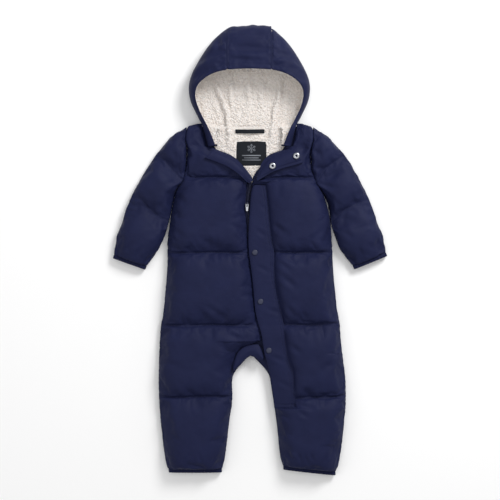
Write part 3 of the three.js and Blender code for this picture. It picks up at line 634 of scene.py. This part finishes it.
def pad_shell(piece, name, pucker):
    lines = [plan(line) for line in SEWN[name]]

    def height(co):
        total = 0.8 * lumps(co) + creased(co, CREASES[name])
        for k, line in enumerate(lines):
            total += puckered(co, line, pucker=pucker, seed=11.0 * k + len(name))
        for line in GATHERED[name]:
            total += puckered(co, plan(line), **ELASTIC)
        return total

    press(piece, height)
    finish_piece(piece, SHELL, "shell_cloth", name)
    print(name, "faces:", len(piece.data.polygons))


shells = {name: refine(name, 2, CLOTH_GRID) for name in SEWN}
for name, piece in shells.items():
    print(name, "pinned points:", pin_seams(piece, [plan(line) for line in SEWN[name]]))
blow_up(list(shells.values()))
for name, piece in shells.items():
    lift_armholes(widen(piece, 1.0))
    pad_shell(finer(piece), name, 0.6)

# %% [markdown]
# The backs lie under the suit. They get a faint lumpiness but no creases, because the weight on
# them presses them flat on the floor.

# %% Backs
for back_name in ("back_right", "back_left"):
    back = refine(back_name, 2)
    press(back, lambda co: 0.3 * lumps(co))
    finish_piece(back, SHELL, "shell_cloth", back_name)
    print(back_name, "faces:", len(back.data.polygons))

# %% [markdown]
# ## Hood, collars and gusset
# The hood's three shell pieces are padded walls. Their seams pull in and pucker the cloth beside
# them. The brim is a turned hem, stitched 8 mm from the edge. No groove goes deeper than DEEPEST, so
# that it doesn't reach the pile inside. The crown's values are millimetres from the frame's origin.

# %% Hood shell
HOOD_CREASES = {
    "hood_side_right": [
        (-108, 318, -78, 340, -2.2, 6), (-74, 362, -44, 374, -2.6, 6), (-112, 262, -88, 262, -1.4, 5),
        (-56, 404, -60, 372, -1.8, 5), (-106, 224, -84, 238, -1.4, 5), (-66, 350, -50, 346, -1.8, 5),
        (-96, 350, -84, 362, -1.8, 6), (-44, 352, -60, 358, -1.4, 4),
    ],
    "hood_side_left": [
        (110, 318, 80, 338, -2.2, 6), (78, 360, 44, 370, -2.6, 6), (112, 262, 90, 262, -1.4, 5),
        (54, 402, 62, 370, -1.8, 5), (106, 224, 86, 238, -1.4, 5), (70, 350, 52, 344, -1.8, 5),
        (98, 348, 86, 360, -1.8, 6), (44, 356, 62, 360, -1.4, 4),
    ],
    "hood_centre": [
        (-40, 377, 38, 374, -2.6, 7), (-32, 356, 14, 353, -1.4, 5), (-12, 403, 30, 405, -1.4, 6),
    ],
}
DEEPEST = 2.2
CROWN_FROM, CROWN_FADE = 402, 14
CORNER_IN = [(40, -2.6), (-40, -1.2)]
CORNER_WIDTH = 7
BULGES = [(0.8, 6.2, 0.8), (0.5, 3.1, 0.0)]
HOOD_LUMPS, HOOD_FOLDS = 1.4, 1.7
HOOD_SEAM = {"groove": 2.2, "width": 2.2, "pucker": 3.2, "reach": 12, "pitch": 10}
BRIM_SEAM = {"groove": 1.3, "width": 1.8, "pucker": 2.0, "reach": 10, "pitch": 9}
HOOD_SEAMS = [plan([(-41.4, 424), (-41.4, 336)]), plan([(41.4, 424), (41.4, 336)])]
BRIM_STITCH = [(-96, 318), (-80, 334.5), (-61, 342), (-42, 345), (0, 347), (42, 345), (61, 342),
               (80, 334.5), (96, 318)]


def eased_crown(co):
    """The sewn corners of the crown are drawn in, and its cloth bulges a little between them."""
    x, y = co[:, 0] / MM, co[:, 1] / MM
    at_top = np.clip((y - CROWN_FROM) / CROWN_FADE, 0, 1)
    corners = sum(by * np.exp(-(((x - where) / CORNER_WIDTH) ** 2)) for where, by in CORNER_IN)
    bulge = sum(high * np.sin(x / wave + start) for high, wave, start in BULGES)
    moved = co.copy()
    moved[:, 1] += at_top * (corners + bulge) * MM
    return moved


def pad_hood(name):
    piece = refine(name, 3, FINE_GRID)
    set_points(piece, eased_crown(points_of(piece)[0]))

    def height(co):
        total = HOOD_LUMPS * lumps(co) + HOOD_FOLDS * creased(co, HOOD_CREASES[name])
        for k, seam in enumerate(HOOD_SEAMS):
            total += puckered(co, seam, seed=40.0 + k, **HOOD_SEAM)
        total += puckered(co, plan(BRIM_STITCH), seed=47.0, **BRIM_SEAM)
        return np.clip(total, -DEEPEST * MM, None)

    press(piece, height)
    finish_piece(widen(piece, 0.65), SHELL, "shell_cloth", name)
    print(name, "faces:", len(piece.data.polygons))
    return piece


hood = {name: pad_hood(name) for name in HOOD_CREASES}

# %% [markdown]
# The collars are the turned ends of the fronts, with a crisp edge and one or two rows of stitches.
# The gusset has no stitches on it.

# %% Collars and gusset
COLLAR_STITCH = {
    "collar_right": [[(-66, 184), (-47, 177), (-27, 167), (-9, 149), (1, 135)]],
    "collar_left": [[(17, 136), (23, 150), (30, 165), (42, 176), (59, 183), (82, 184)],
                    [(20, 136), (37, 144), (48, 151), (61, 156), (77, 161), (97, 167)]],
}
COLLAR_SEAM = {"groove": 0.6, "width": 1.3, "pucker": 0.5, "reach": 5, "pitch": 7}
small = {}
for name in ("collar_right", "collar_left", "crotch_gusset"):
    piece = refine(name, 3, FINE_GRID)
    seams = COLLAR_STITCH.get(name, [])

    def height(co):
        total = 0.5 * lumps(co)
        for k, line in enumerate(seams):
            total += puckered(co, plan(line), seed=70.0 + k, **COLLAR_SEAM)
        return total

    press(piece, height)
    finish_piece(piece, SHELL, "shell_cloth", name)
    small[name] = piece
    print(name, "faces:", len(piece.data.polygons))

# %% [markdown]
# ## Storm flap
# The flap is two layers of shell cloth with a thin wadding. It is sewn along its left edge and
# topstitched twice along it. Its lower end is stitched down on the left leg, where the cloth pulls
# into short creases.

# %% Flap
FLAP_FREE = [(9, 124), (3, 115), (1.4, 94), (0.6, 67), (-2, 46), (-2.3, 24), (-1.5, 1), (2, -29),
             (4.6, -48), (8.6, -84), (10.5, -115), (15, -134), (22.7, -160), (27, -188), (31, -207),
             (36, -223), (43.2, -267), (47.5, -302)]
FLAP_SEWN = [(34, 124), (37, 115), (40, 94), (41, 67), (43, 46), (46.4, 24), (50.4, 1), (51.3, -29),
             (51.7, -48), (59, -84), (64, -115), (67.2, -134), (71.3, -160), (75, -188), (78.3, -207),
             (83.8, -223), (89, -267), (90.3, -302)]
FLAP_CREASES = [
    (10, 40, 34, 22, -0.9, 4), (12, -30, 40, -44, -0.9, 4), (30, -110, 60, -122, -0.9, 4),
    (40, -200, 70, -214, -0.9, 4), (54, -250, 80, -262, -0.9, 4), (20, 84, 36, 70, -0.7, 4),
]


def inset(line, other, by):
    """A line moved by this many millimetres from itself towards another with as many points."""
    moved = []
    for (ax, ay), (bx, by_) in zip(line, other):
        reach = math.hypot(bx - ax, by_ - ay)
        moved.append((ax + (bx - ax) * by / reach, ay + (by_ - ay) * by / reach))
    return moved


TOPSTITCH = [inset(FLAP_SEWN, FLAP_FREE, 6), inset(FLAP_SEWN, FLAP_FREE, 11)]
FLAP_END = [(50, -294), (86, -294)]
FLAP_HEM = [(50, -306), (93, -306)]
FLAP_SEAM = {"groove": 0.8, "width": 1.4, "pucker": 0.45, "reach": 6, "pitch": 7}
flap = refine("placket_flap", 3, FINE_GRID)


def flap_height(co):
    total = 0.4 * lumps(co) + creased(co, FLAP_CREASES)
    for k, line in enumerate(TOPSTITCH + [FLAP_END]):
        total += puckered(co, plan(line), seed=60.0 + k, **FLAP_SEAM)
    return total


press(flap, flap_height)
finish_piece(flap, SHELL, "shell_cloth", "placket_flap")
print("flap faces:", len(flap.data.polygons))

# %% [markdown]
# ## Elastic bindings
# Cuffs and hems end in a narrow elastic binding. It is stretched while it is sewn on, so when it
# relaxes it draws itself and the cloth above it into even gathers.

# %% Bindings
BINDING_GRID = 2.0
GATHER_PITCH = 6.5
GATHER_DEPTH = 0.55
GATHER_DRIFT = 14


def gathers(co):
    phase = 2 * np.pi * co[:, 0] / (GATHER_PITCH * MM)
    return GATHER_DEPTH * MM * np.sin(phase + 2 * noise(co[:, 0], co[:, 1], GATHER_DRIFT * MM))


for name in ("cuff_binding_right", "cuff_binding_left", "hem_binding_right", "hem_binding_left"):
    binding = refine(name, 2, BINDING_GRID)
    press(binding, gathers)
    finish_piece(widen(binding, 0.6), BINDING, "binding", name)
    print(name, "faces:", len(binding.data.polygons))

# %% [markdown]
# ## Pile lining
# The lining is a thin knitted fabric that hangs in soft vertical folds in the hood. Its pile is
# built from curled tufts that Geometry Nodes scatters over the side that shows. None are put under
# the label and the hanging loop, which press the pile flat. PRESSED lists those two places by their
# lower left and upper right corners.

# %% Lining folds
LINING_FOLDS = [
    (-66, 322, -55, 290, 6.5, 3.6), (-57, 304, -40, 250, 7.0, 3.6), (-41, 264, -38, 196, 5.0, 3.6),
    (61, 324, 51, 266, 6.5, 3.6), (51, 284, 43, 222, 5.5, 3.6), (43, 240, 41, 200, 4.0, 3.6),
    (-36, 326, -34, 274, 4.4, 5), (0, 328, -2, 280, 4.4, 5), (26, 322, 22, 276, 3.4, 5),
    (-90, 296, -80, 240, 2.4, 7), (90, 290, 82, 236, 2.4, 7), (-18, 322, -22, 262, -2.0, 8),
]
PRESSED = [((-27, 157), (35, 207)), ((-30, 217), (32, 232))]
TUFTS_PER_AREA = 95000.0
TUFT_SIZE = 2.4 * MM
CURL_DEPTH = 0.9 * MM
CURL_WAVE = 1.9 * MM
TILT = 0.6
FULL_TURN = 6.28
TUFT_LEAST, TUFT_MOST = (0.6, 0.6, 0.35), (1.4, 1.1, 0.6)


def upper_skin(piece):
    """A copy of the faces that look up, without those that something presses on."""
    mesh = bmesh.new()
    mesh.from_mesh(piece.data)
    boxes = [(plan([low])[0], plan([high])[0]) for low, high in PRESSED]
    mesh.normal_update()
    away = []
    for face in mesh.faces:
        x, y, _ = face.calc_center_median()
        covered = any(low[0] < x < high[0] and low[1] < y < high[1] for low, high in boxes)
        if covered or face.normal.z < 0.2:
            away.append(face)
    bmesh.ops.delete(mesh, geom=away, context="FACES")
    data = bpy.data.meshes.new(piece.name + "_skin")
    mesh.to_mesh(data)
    mesh.free()
    return data


def node_tree(name, **inputs):
    """An empty Geometry Nodes tree with named number inputs. Returns it, its ends and the identifiers."""
    tree = bpy.data.node_groups.new(name, "GeometryNodeTree")
    tree.interface.new_socket("Geometry", in_out="INPUT", socket_type="NodeSocketGeometry")
    known = {}
    for key, value in inputs.items():
        label = key.replace("_", " ")
        socket = tree.interface.new_socket(label, in_out="INPUT", socket_type="NodeSocketFloat")
        socket.default_value = value
        known[socket.identifier] = value
    tree.interface.new_socket("Geometry", in_out="OUTPUT", socket_type="NodeSocketGeometry")
    return tree, add(tree, "NodeGroupInput"), add(tree, "NodeGroupOutput"), known


def run_nodes(name, data, tree, known):
    thing = bpy.data.objects.new(name, data)
    bpy.context.scene.collection.objects.link(thing)
    modifier = thing.modifiers.new("repeat", "NODES")
    modifier.node_group = tree
    for identifier, value in known.items():
        modifier[identifier] = value
    return bake_modifiers(thing)


def tufted(piece, seed):
    tree, enter, leave, known = node_tree("pile_tufts", Tufts_per_area=TUFTS_PER_AREA,
                                          Tuft_size=TUFT_SIZE, Curl_depth=CURL_DEPTH)
    scatter = add(tree, "GeometryNodeDistributePointsOnFaces",
                  {"distribute_method": "RANDOM", "Seed": seed},
                  Mesh=enter.outputs["Geometry"], Density=enter.outputs["Tufts per area"])
    curl = add(tree, "GeometryNodeMeshIcoSphere", {"Radius": 1.0, "Subdivisions": 2})
    turn = add(tree, "FunctionNodeRandomValue", {"data_type": "FLOAT_VECTOR", "Seed": seed + 1})
    turn.inputs[0].default_value = (-TILT, -TILT, 0.0)
    turn.inputs[1].default_value = (TILT, TILT, FULL_TURN)
    grow = add(tree, "FunctionNodeRandomValue", {"data_type": "FLOAT_VECTOR", "Seed": seed + 2})
    grow.inputs[0].default_value = TUFT_LEAST
    grow.inputs[1].default_value = TUFT_MOST
    sized = add(tree, "ShaderNodeVectorMath", {"operation": "SCALE"}, n0=grow.outputs[0])
    tree.links.new(enter.outputs["Tuft size"], sized.inputs["Scale"])
    put = add(tree, "GeometryNodeInstanceOnPoints", Points=scatter.outputs["Points"],
              Instance=curl.outputs["Mesh"], Rotation=turn.outputs[0], Scale=sized.outputs[0])
    whole = add(tree, "GeometryNodeRealizeInstances", Geometry=put.outputs["Instances"])
    wave = add(tree, "ShaderNodeTexNoise", {"Scale": 1 / CURL_WAVE, "Detail": 1.0},
               Vector=add(tree, "GeometryNodeInputPosition").outputs["Position"])
    centred = add(tree, "ShaderNodeVectorMath", {"operation": "SUBTRACT"}, n0=wave.outputs["Color"])
    centred.inputs[1].default_value = (0.5, 0.5, 0.5)
    push = add(tree, "ShaderNodeVectorMath", {"operation": "SCALE"}, n0=centred.outputs[0])
    tree.links.new(enter.outputs["Curl depth"], push.inputs["Scale"])
    curled = add(tree, "GeometryNodeSetPosition", Geometry=whole.outputs["Geometry"],
                 Offset=push.outputs[0])
    dressed = add(tree, "GeometryNodeSetMaterial", {"Material": PILE},
                  Geometry=curled.outputs["Geometry"])
    tree.links.new(dressed.outputs["Geometry"], leave.inputs["Geometry"])
    return run_nodes(piece.name.replace("_cloth", "_tufts"), upper_skin(piece), tree, known)


# %% [markdown]
# Each lining piece is stated as a sheet by its flat cut: length and width in metres, area where it
# isn't a plain rectangle, and the piece it lies on. The neck lining ends just above the zip, and
# the hood's side linings end under the hood's edge. SIDE_LOW and SIDE_OUT are millimetres from the
# frame's origin.

# %% Lining pieces and tufts
FLAT_CUT = {
    "hood_lining_right": ((0.13, 0.21), 0.0186, ["hood_side_right"]),
    "hood_lining_left": ((0.13, 0.21), 0.0186, ["hood_side_left"]),
    "hood_lining_centre": ((0.083, 0.296), None, ["hood_centre"]),
    "neck_lining": ((0.141, 0.12), 0.0114, ["back_right", "back_left"]),
}
LINING_GRID = 2.6
NECK_REACH, HOOD_REACH = 5.5, 0.6
NECK_POINT = 131
DRAWN_UP = 0.8
SIDE_LOW, SIDE_FADE = 214, 14
SIDE_OUT, OUT_FADE = 54, 8
TUCK = 2.5
LEAST_DEPTH = 0.8


def above_zip(piece):
    """Draws the neck lining's lowest point up, clear of the zip's top end."""
    co, _ = points_of(piece)
    below = np.clip(place(0, NECK_POINT).y - co[:, 1], 0, None)
    co[:, 1] += DRAWN_UP * below
    set_points(piece, co)
    return piece


def tucked(piece):
    """Draws the lower ends of the hood's sides up under the edge of the hood."""
    co, _ = points_of(piece)
    low = np.clip((SIDE_LOW - co[:, 1] / MM) / SIDE_FADE, 0, 1)
    low *= np.clip((np.abs(co[:, 0]) / MM - SIDE_OUT) / OUT_FADE, 0, 1)
    co[:, 1] += TUCK * MM * low
    set_points(piece, co)
    return piece


def folds(co):
    return np.clip(creased(co, LINING_FOLDS) + 0.4 * lumps(co), -LEAST_DEPTH * MM, None)


for number, name in enumerate(FLAT_CUT):
    at_neck = name == "neck_lining"
    piece = widen(refine(name, 3, LINING_GRID), NECK_REACH if at_neck else HOOD_REACH)
    press(piece, folds)
    piece = above_zip(piece) if at_neck else tucked(piece)
    finish_piece(piece, PILE, "pile_lining", name)
    tufts = tufted(piece, 20 + 5 * number)
    finish_piece(tufts, PILE, "pile_lining")
    measured = sum(face.area for face in piece.data.polygons) / 2
    print(name, "half area in m2:", round(measured, 4), "tuft faces:", len(tufts.data.polygons))

# %% [markdown]
# ## Label and hanging loop
# A woven ribbon label is sewn in at the back of the neck, with a short loop above it. The label
# bears a plain six-armed snowflake and three bars, woven in grey. It has no words.

# %% Woven design on the label
LABEL_TOP = 17.05
WEAVE_RISE = 0.22
WEAVE_SUNK = 0.15


def flat_bars(name, bars):
    """Thin raised bars, each from (x0, y0) to (x1, y1) in mm with its width, joined into one mesh."""
    mesh = bmesh.new()
    for x0, y0, x1, y1, width in bars:
        length = math.hypot(x1 - x0, y1 - y0)
        nx, ny = -(y1 - y0) / length * width / 2, (x1 - x0) / length * width / 2
        corners = [(x0 + nx, y0 + ny), (x1 + nx, y1 + ny), (x1 - nx, y1 - ny), (x0 - nx, y0 - ny)]
        low = [mesh.verts.new(place(x, y, LABEL_TOP - WEAVE_SUNK)) for x, y in corners]
        high = [mesh.verts.new(place(x, y, LABEL_TOP + WEAVE_RISE)) for x, y in corners]
        mesh.faces.new(high[::-1])
        mesh.faces.new(low)
        for k in range(4):
            mesh.faces.new((low[k], high[k], high[(k + 1) % 4], low[(k + 1) % 4]))
    bmesh.ops.recalc_face_normals(mesh, faces=mesh.faces)
    data = bpy.data.meshes.new(name)
    mesh.to_mesh(data)
    mesh.free()
    thing = bpy.data.objects.new(name, data)
    bpy.context.scene.collection.objects.link(thing)
    return thing


FLAKE_X, FLAKE_Y, FLAKE_ARM = 3.8, 191.5, 8.5
flake = []
for k in range(6):
    angle = math.pi / 6 + k * math.pi / 3
    ux, uy = math.cos(angle), math.sin(angle)
    flake.append((FLAKE_X, FLAKE_Y, FLAKE_X + FLAKE_ARM * ux, FLAKE_Y + FLAKE_ARM * uy, 1.1))
    for reach, twig in ((0.5, 2.8), (0.78, 2.0)):
        bx, by = FLAKE_X + FLAKE_ARM * reach * ux, FLAKE_Y + FLAKE_ARM * reach * uy
        for side in (-1, 1):
            lean = angle + side * math.pi / 3
            flake.append((bx, by, bx + twig * math.cos(lean), by + twig * math.sin(lean), 0.9))
bars = [(-14, 178, 21.6, 178, 2.2), (-10, 173.5, 17.6, 173.5, 1.6), (-14, 169.5, 21.6, 169.5, 1.6)]
design = finish_piece(flat_bars("neck_label_design", flake + bars), LABEL_PRINT, "ribbon")
print("label design faces:", len(design.data.polygons))

# %% [markdown]
# The loop's ends are sewn down, so its middle bows a little towards the hood.

# %% Ribbons
LOOP_LEFT, LOOP_LENGTH = -26, 54
LOOP_BOW = 2.4
for name in ("neck_label", "hanging_loop"):
    ribbon = refine(name, 2, FINE_GRID)
    if name == "hanging_loop":
        co, _ = points_of(widen(ribbon, 0.8))
        along = np.clip((co[:, 0] / MM - LOOP_LEFT) / LOOP_LENGTH, 0, 1)
        co[:, 1] += LOOP_BOW * MM * np.sin(np.pi * along)
        set_points(ribbon, co)
    finish_piece(ribbon, RIBBON, "ribbon", name)
    print(name, "faces:", len(ribbon.data.polygons))

# %% [markdown]
# ## Hardware and zip
# Snap caps, sockets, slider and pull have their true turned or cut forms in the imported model. They
# are smoothed where they are round and get their finishes.

# %% Hardware
HARDWARE = [
    ("snap_cap_1", CAP, "snap_cap", SUIT, 2),
    ("snap_cap_2", CAP, "snap_cap", SUIT, 2),
    ("snap_cap_3", CAP, "snap_cap", SUIT, 2),
    ("snap_socket_1", NICKEL, "snap_metal", SUIT, 2),
    ("snap_socket_2", NICKEL, "snap_metal", SUIT, 2),
    ("zip_tape", TAPE, "zip_cloth", SUIT, 1),
    ("zip_slider", SLIDER_FINISH, "snap_metal", SUIT, 0),
    ("zip_pull", NICKEL, "snap_metal", PULL, 0),
]
SHARP = math.radians(40)
for name, material, slot, body, levels in HARDWARE:
    piece = refine(name, levels) if levels else node_copy(name)
    finish_piece(piece, material, slot, name, body=body)
    piece.data.set_sharp_from_angle(angle=SHARP)
    print(name, "faces:", len(piece.data.polygons))

# %% [markdown]
# ## Stitches and zip coil
# Small things that repeat along a line share one Geometry Nodes tree: it walks along the line at
# an even spacing and puts a small rounded bead at each step, turned along the line. As thread the
# bead is a stitch, and as nylon it is a turn of the zip's coil. The lines are first draped over
# the finished cloth from above.

# %% Draping a line and repeating along it
DROP_FROM = 90


def surface_of(*pieces):
    corners, faces = [], []
    for piece in pieces:
        start = len(corners)
        corners.extend(vertex.co.copy() for vertex in piece.data.vertices)
        faces.extend([start + k for k in face.vertices] for face in piece.data.polygons)
    return BVHTree.FromPolygons(corners, faces)


def drape(surface, line, lift=0.1, step=1.5):
    """Points along a line of (x, y) in mm, lifted from the surface that lies below them."""
    points = []
    for (x0, y0), (x1, y1) in zip(line[:-1], line[1:]):
        count = max(1, int(math.hypot(x1 - x0, y1 - y0) / step))
        for k in range(count):
            t = k / count
            above = place(x0 + (x1 - x0) * t, y0 + (y1 - y0) * t, DROP_FROM)
            hit = surface.ray_cast(above, Vector((0, 0, -1)))[0]
            if hit:
                points.append(hit + Vector((0, 0, lift * MM)))
    return points


def repeat_along(name, lines, spacing, size, material, slot):
    corners, edges = [], []
    for line in lines:
        start = len(corners)
        corners.extend(line)
        edges.extend((start + k, start + k + 1) for k in range(len(line) - 1))
    data = bpy.data.meshes.new(name)
    data.from_pydata(corners, edges, [])
    wide, high, long = (side * MM for side in size)
    tree, enter, leave, known = node_tree(name, Spacing=spacing * MM, Wide=wide, High=high, Long=long)
    curve = add(tree, "GeometryNodeMeshToCurve", Mesh=enter.outputs["Geometry"])
    steps = add(tree, "GeometryNodeCurveToPoints", {"mode": "LENGTH"}, Curve=curve.outputs["Curve"],
                Length=enter.outputs["Spacing"])
    bead = add(tree, "GeometryNodeMeshIcoSphere", {"Radius": 1.0, "Subdivisions": 1})
    scale = add(tree, "ShaderNodeCombineXYZ", X=enter.outputs["Wide"], Y=enter.outputs["High"],
                Z=enter.outputs["Long"])
    put = add(tree, "GeometryNodeInstanceOnPoints", Points=steps.outputs["Points"],
              Instance=bead.outputs["Mesh"], Rotation=steps.outputs["Rotation"],
              Scale=scale.outputs["Vector"])
    whole = add(tree, "GeometryNodeRealizeInstances", Geometry=put.outputs["Instances"])
    dressed = add(tree, "GeometryNodeSetMaterial", {"Material": material},
                  Geometry=whole.outputs["Geometry"])
    tree.links.new(dressed.outputs["Geometry"], leave.inputs["Geometry"])
    made = run_nodes(name, data, tree, known)
    finish_piece(made, material, slot)
    print(name, "faces:", len(made.data.polygons))


# %% [markdown]
# One row of stitches runs along each line that was sewn above.

# %% Quilt, topstitch and hem stitches
STITCH = (0.42, 0.35, 1.15)
SPACING = 3.2
HOOD_LINES = [BRIM_STITCH] + [[(x, 418), (x, 346)] for x in (-44, 44, -38.5, 38.5)]


def stitch(name, pieces, lines):
    """Sews a row of stitches along each line, over the pieces that lie below it."""
    ground = surface_of(*pieces)
    repeat_along(name, [drape(ground, line) for line in lines], SPACING, STITCH, THREAD, "shell_cloth")


for name, piece in shells.items():
    stitch("quilt_stitches_" + name, [piece], SEWN[name])
stitch("flap_stitches", [flap, shells["front_left"]], TOPSTITCH + [FLAP_END, FLAP_HEM])
stitch("collar_stitches", [small["collar_right"], small["collar_left"]],
       [line for group in COLLAR_STITCH.values() for line in group])
stitch("hood_stitches", hood.values(), HOOD_LINES)

# %% [markdown]
# The zip's coil is two rows of nylon turns beside each other, above and below the slider.

# %% Zip coil
ZIP_ABOVE = [(1, 121), (-2, 103), (-3.1, 94)]
ZIP_BELOW = [(-2.8, 72), (-1, 60), (2, 35), (3.5, -3), (7, -29), (12, -66), (15.5, -115), (20, -134),
             (27, -158)]
COIL_TOP = 20.25
COIL_HALF = 0.8
COIL_PITCH = 1.5
COIL_TURN = (1.0, 0.45, 0.5)
coil_sides = []
for line in (ZIP_ABOVE, ZIP_BELOW):
    for side in (-COIL_HALF, COIL_HALF):
        coil_sides.append([place(x + side, y, COIL_TOP) for x, y in line])
repeat_along("zip_coil", coil_sides, COIL_PITCH, COIL_TURN, COIL, "zip_cloth")

# %% [markdown]
# ## Floor and sizes
# The suit lies on a plain pale floor.

# %% Floor
FLOOR_HALF, FLOOR_LOW = 3.0, -0.0005
turns_round = ((-1, -1), (1, -1), (1, 1), (-1, 1))
floor_corners = [(x * FLOOR_HALF, y * FLOOR_HALF, FLOOR_LOW) for x, y in turns_round]
floor_data = bpy.data.meshes.new("floor")
floor_data.from_pydata(floor_corners, [], [(0, 1, 2, 3)])
floor = bpy.data.objects.new("floor", floor_data)
bpy.context.scene.collection.objects.link(floor)
PAPER, _, paper_shader = new_material("studio_paper", 0.9)
paper_shader.inputs["Base Color"].default_value = (0.97, 0.97, 0.97, 1.0)
floor_data.materials.append(PAPER)

# %% Sizes and finish
corners, triangles = [], 0
for thing in bpy.context.scene.objects:
    if thing.type == "MESH" and thing is not floor and not thing.hide_render:
        corners.extend(thing.matrix_world @ Vector(c) for c in thing.bound_box)
        triangles += sum(len(face.vertices) - 2 for face in thing.data.polygons)
visual_box = [[pick(c[k] for c in corners) for k in range(3)] for pick in (min, max)]
print("visual box in metres:", visual_box, "triangles:", triangles)
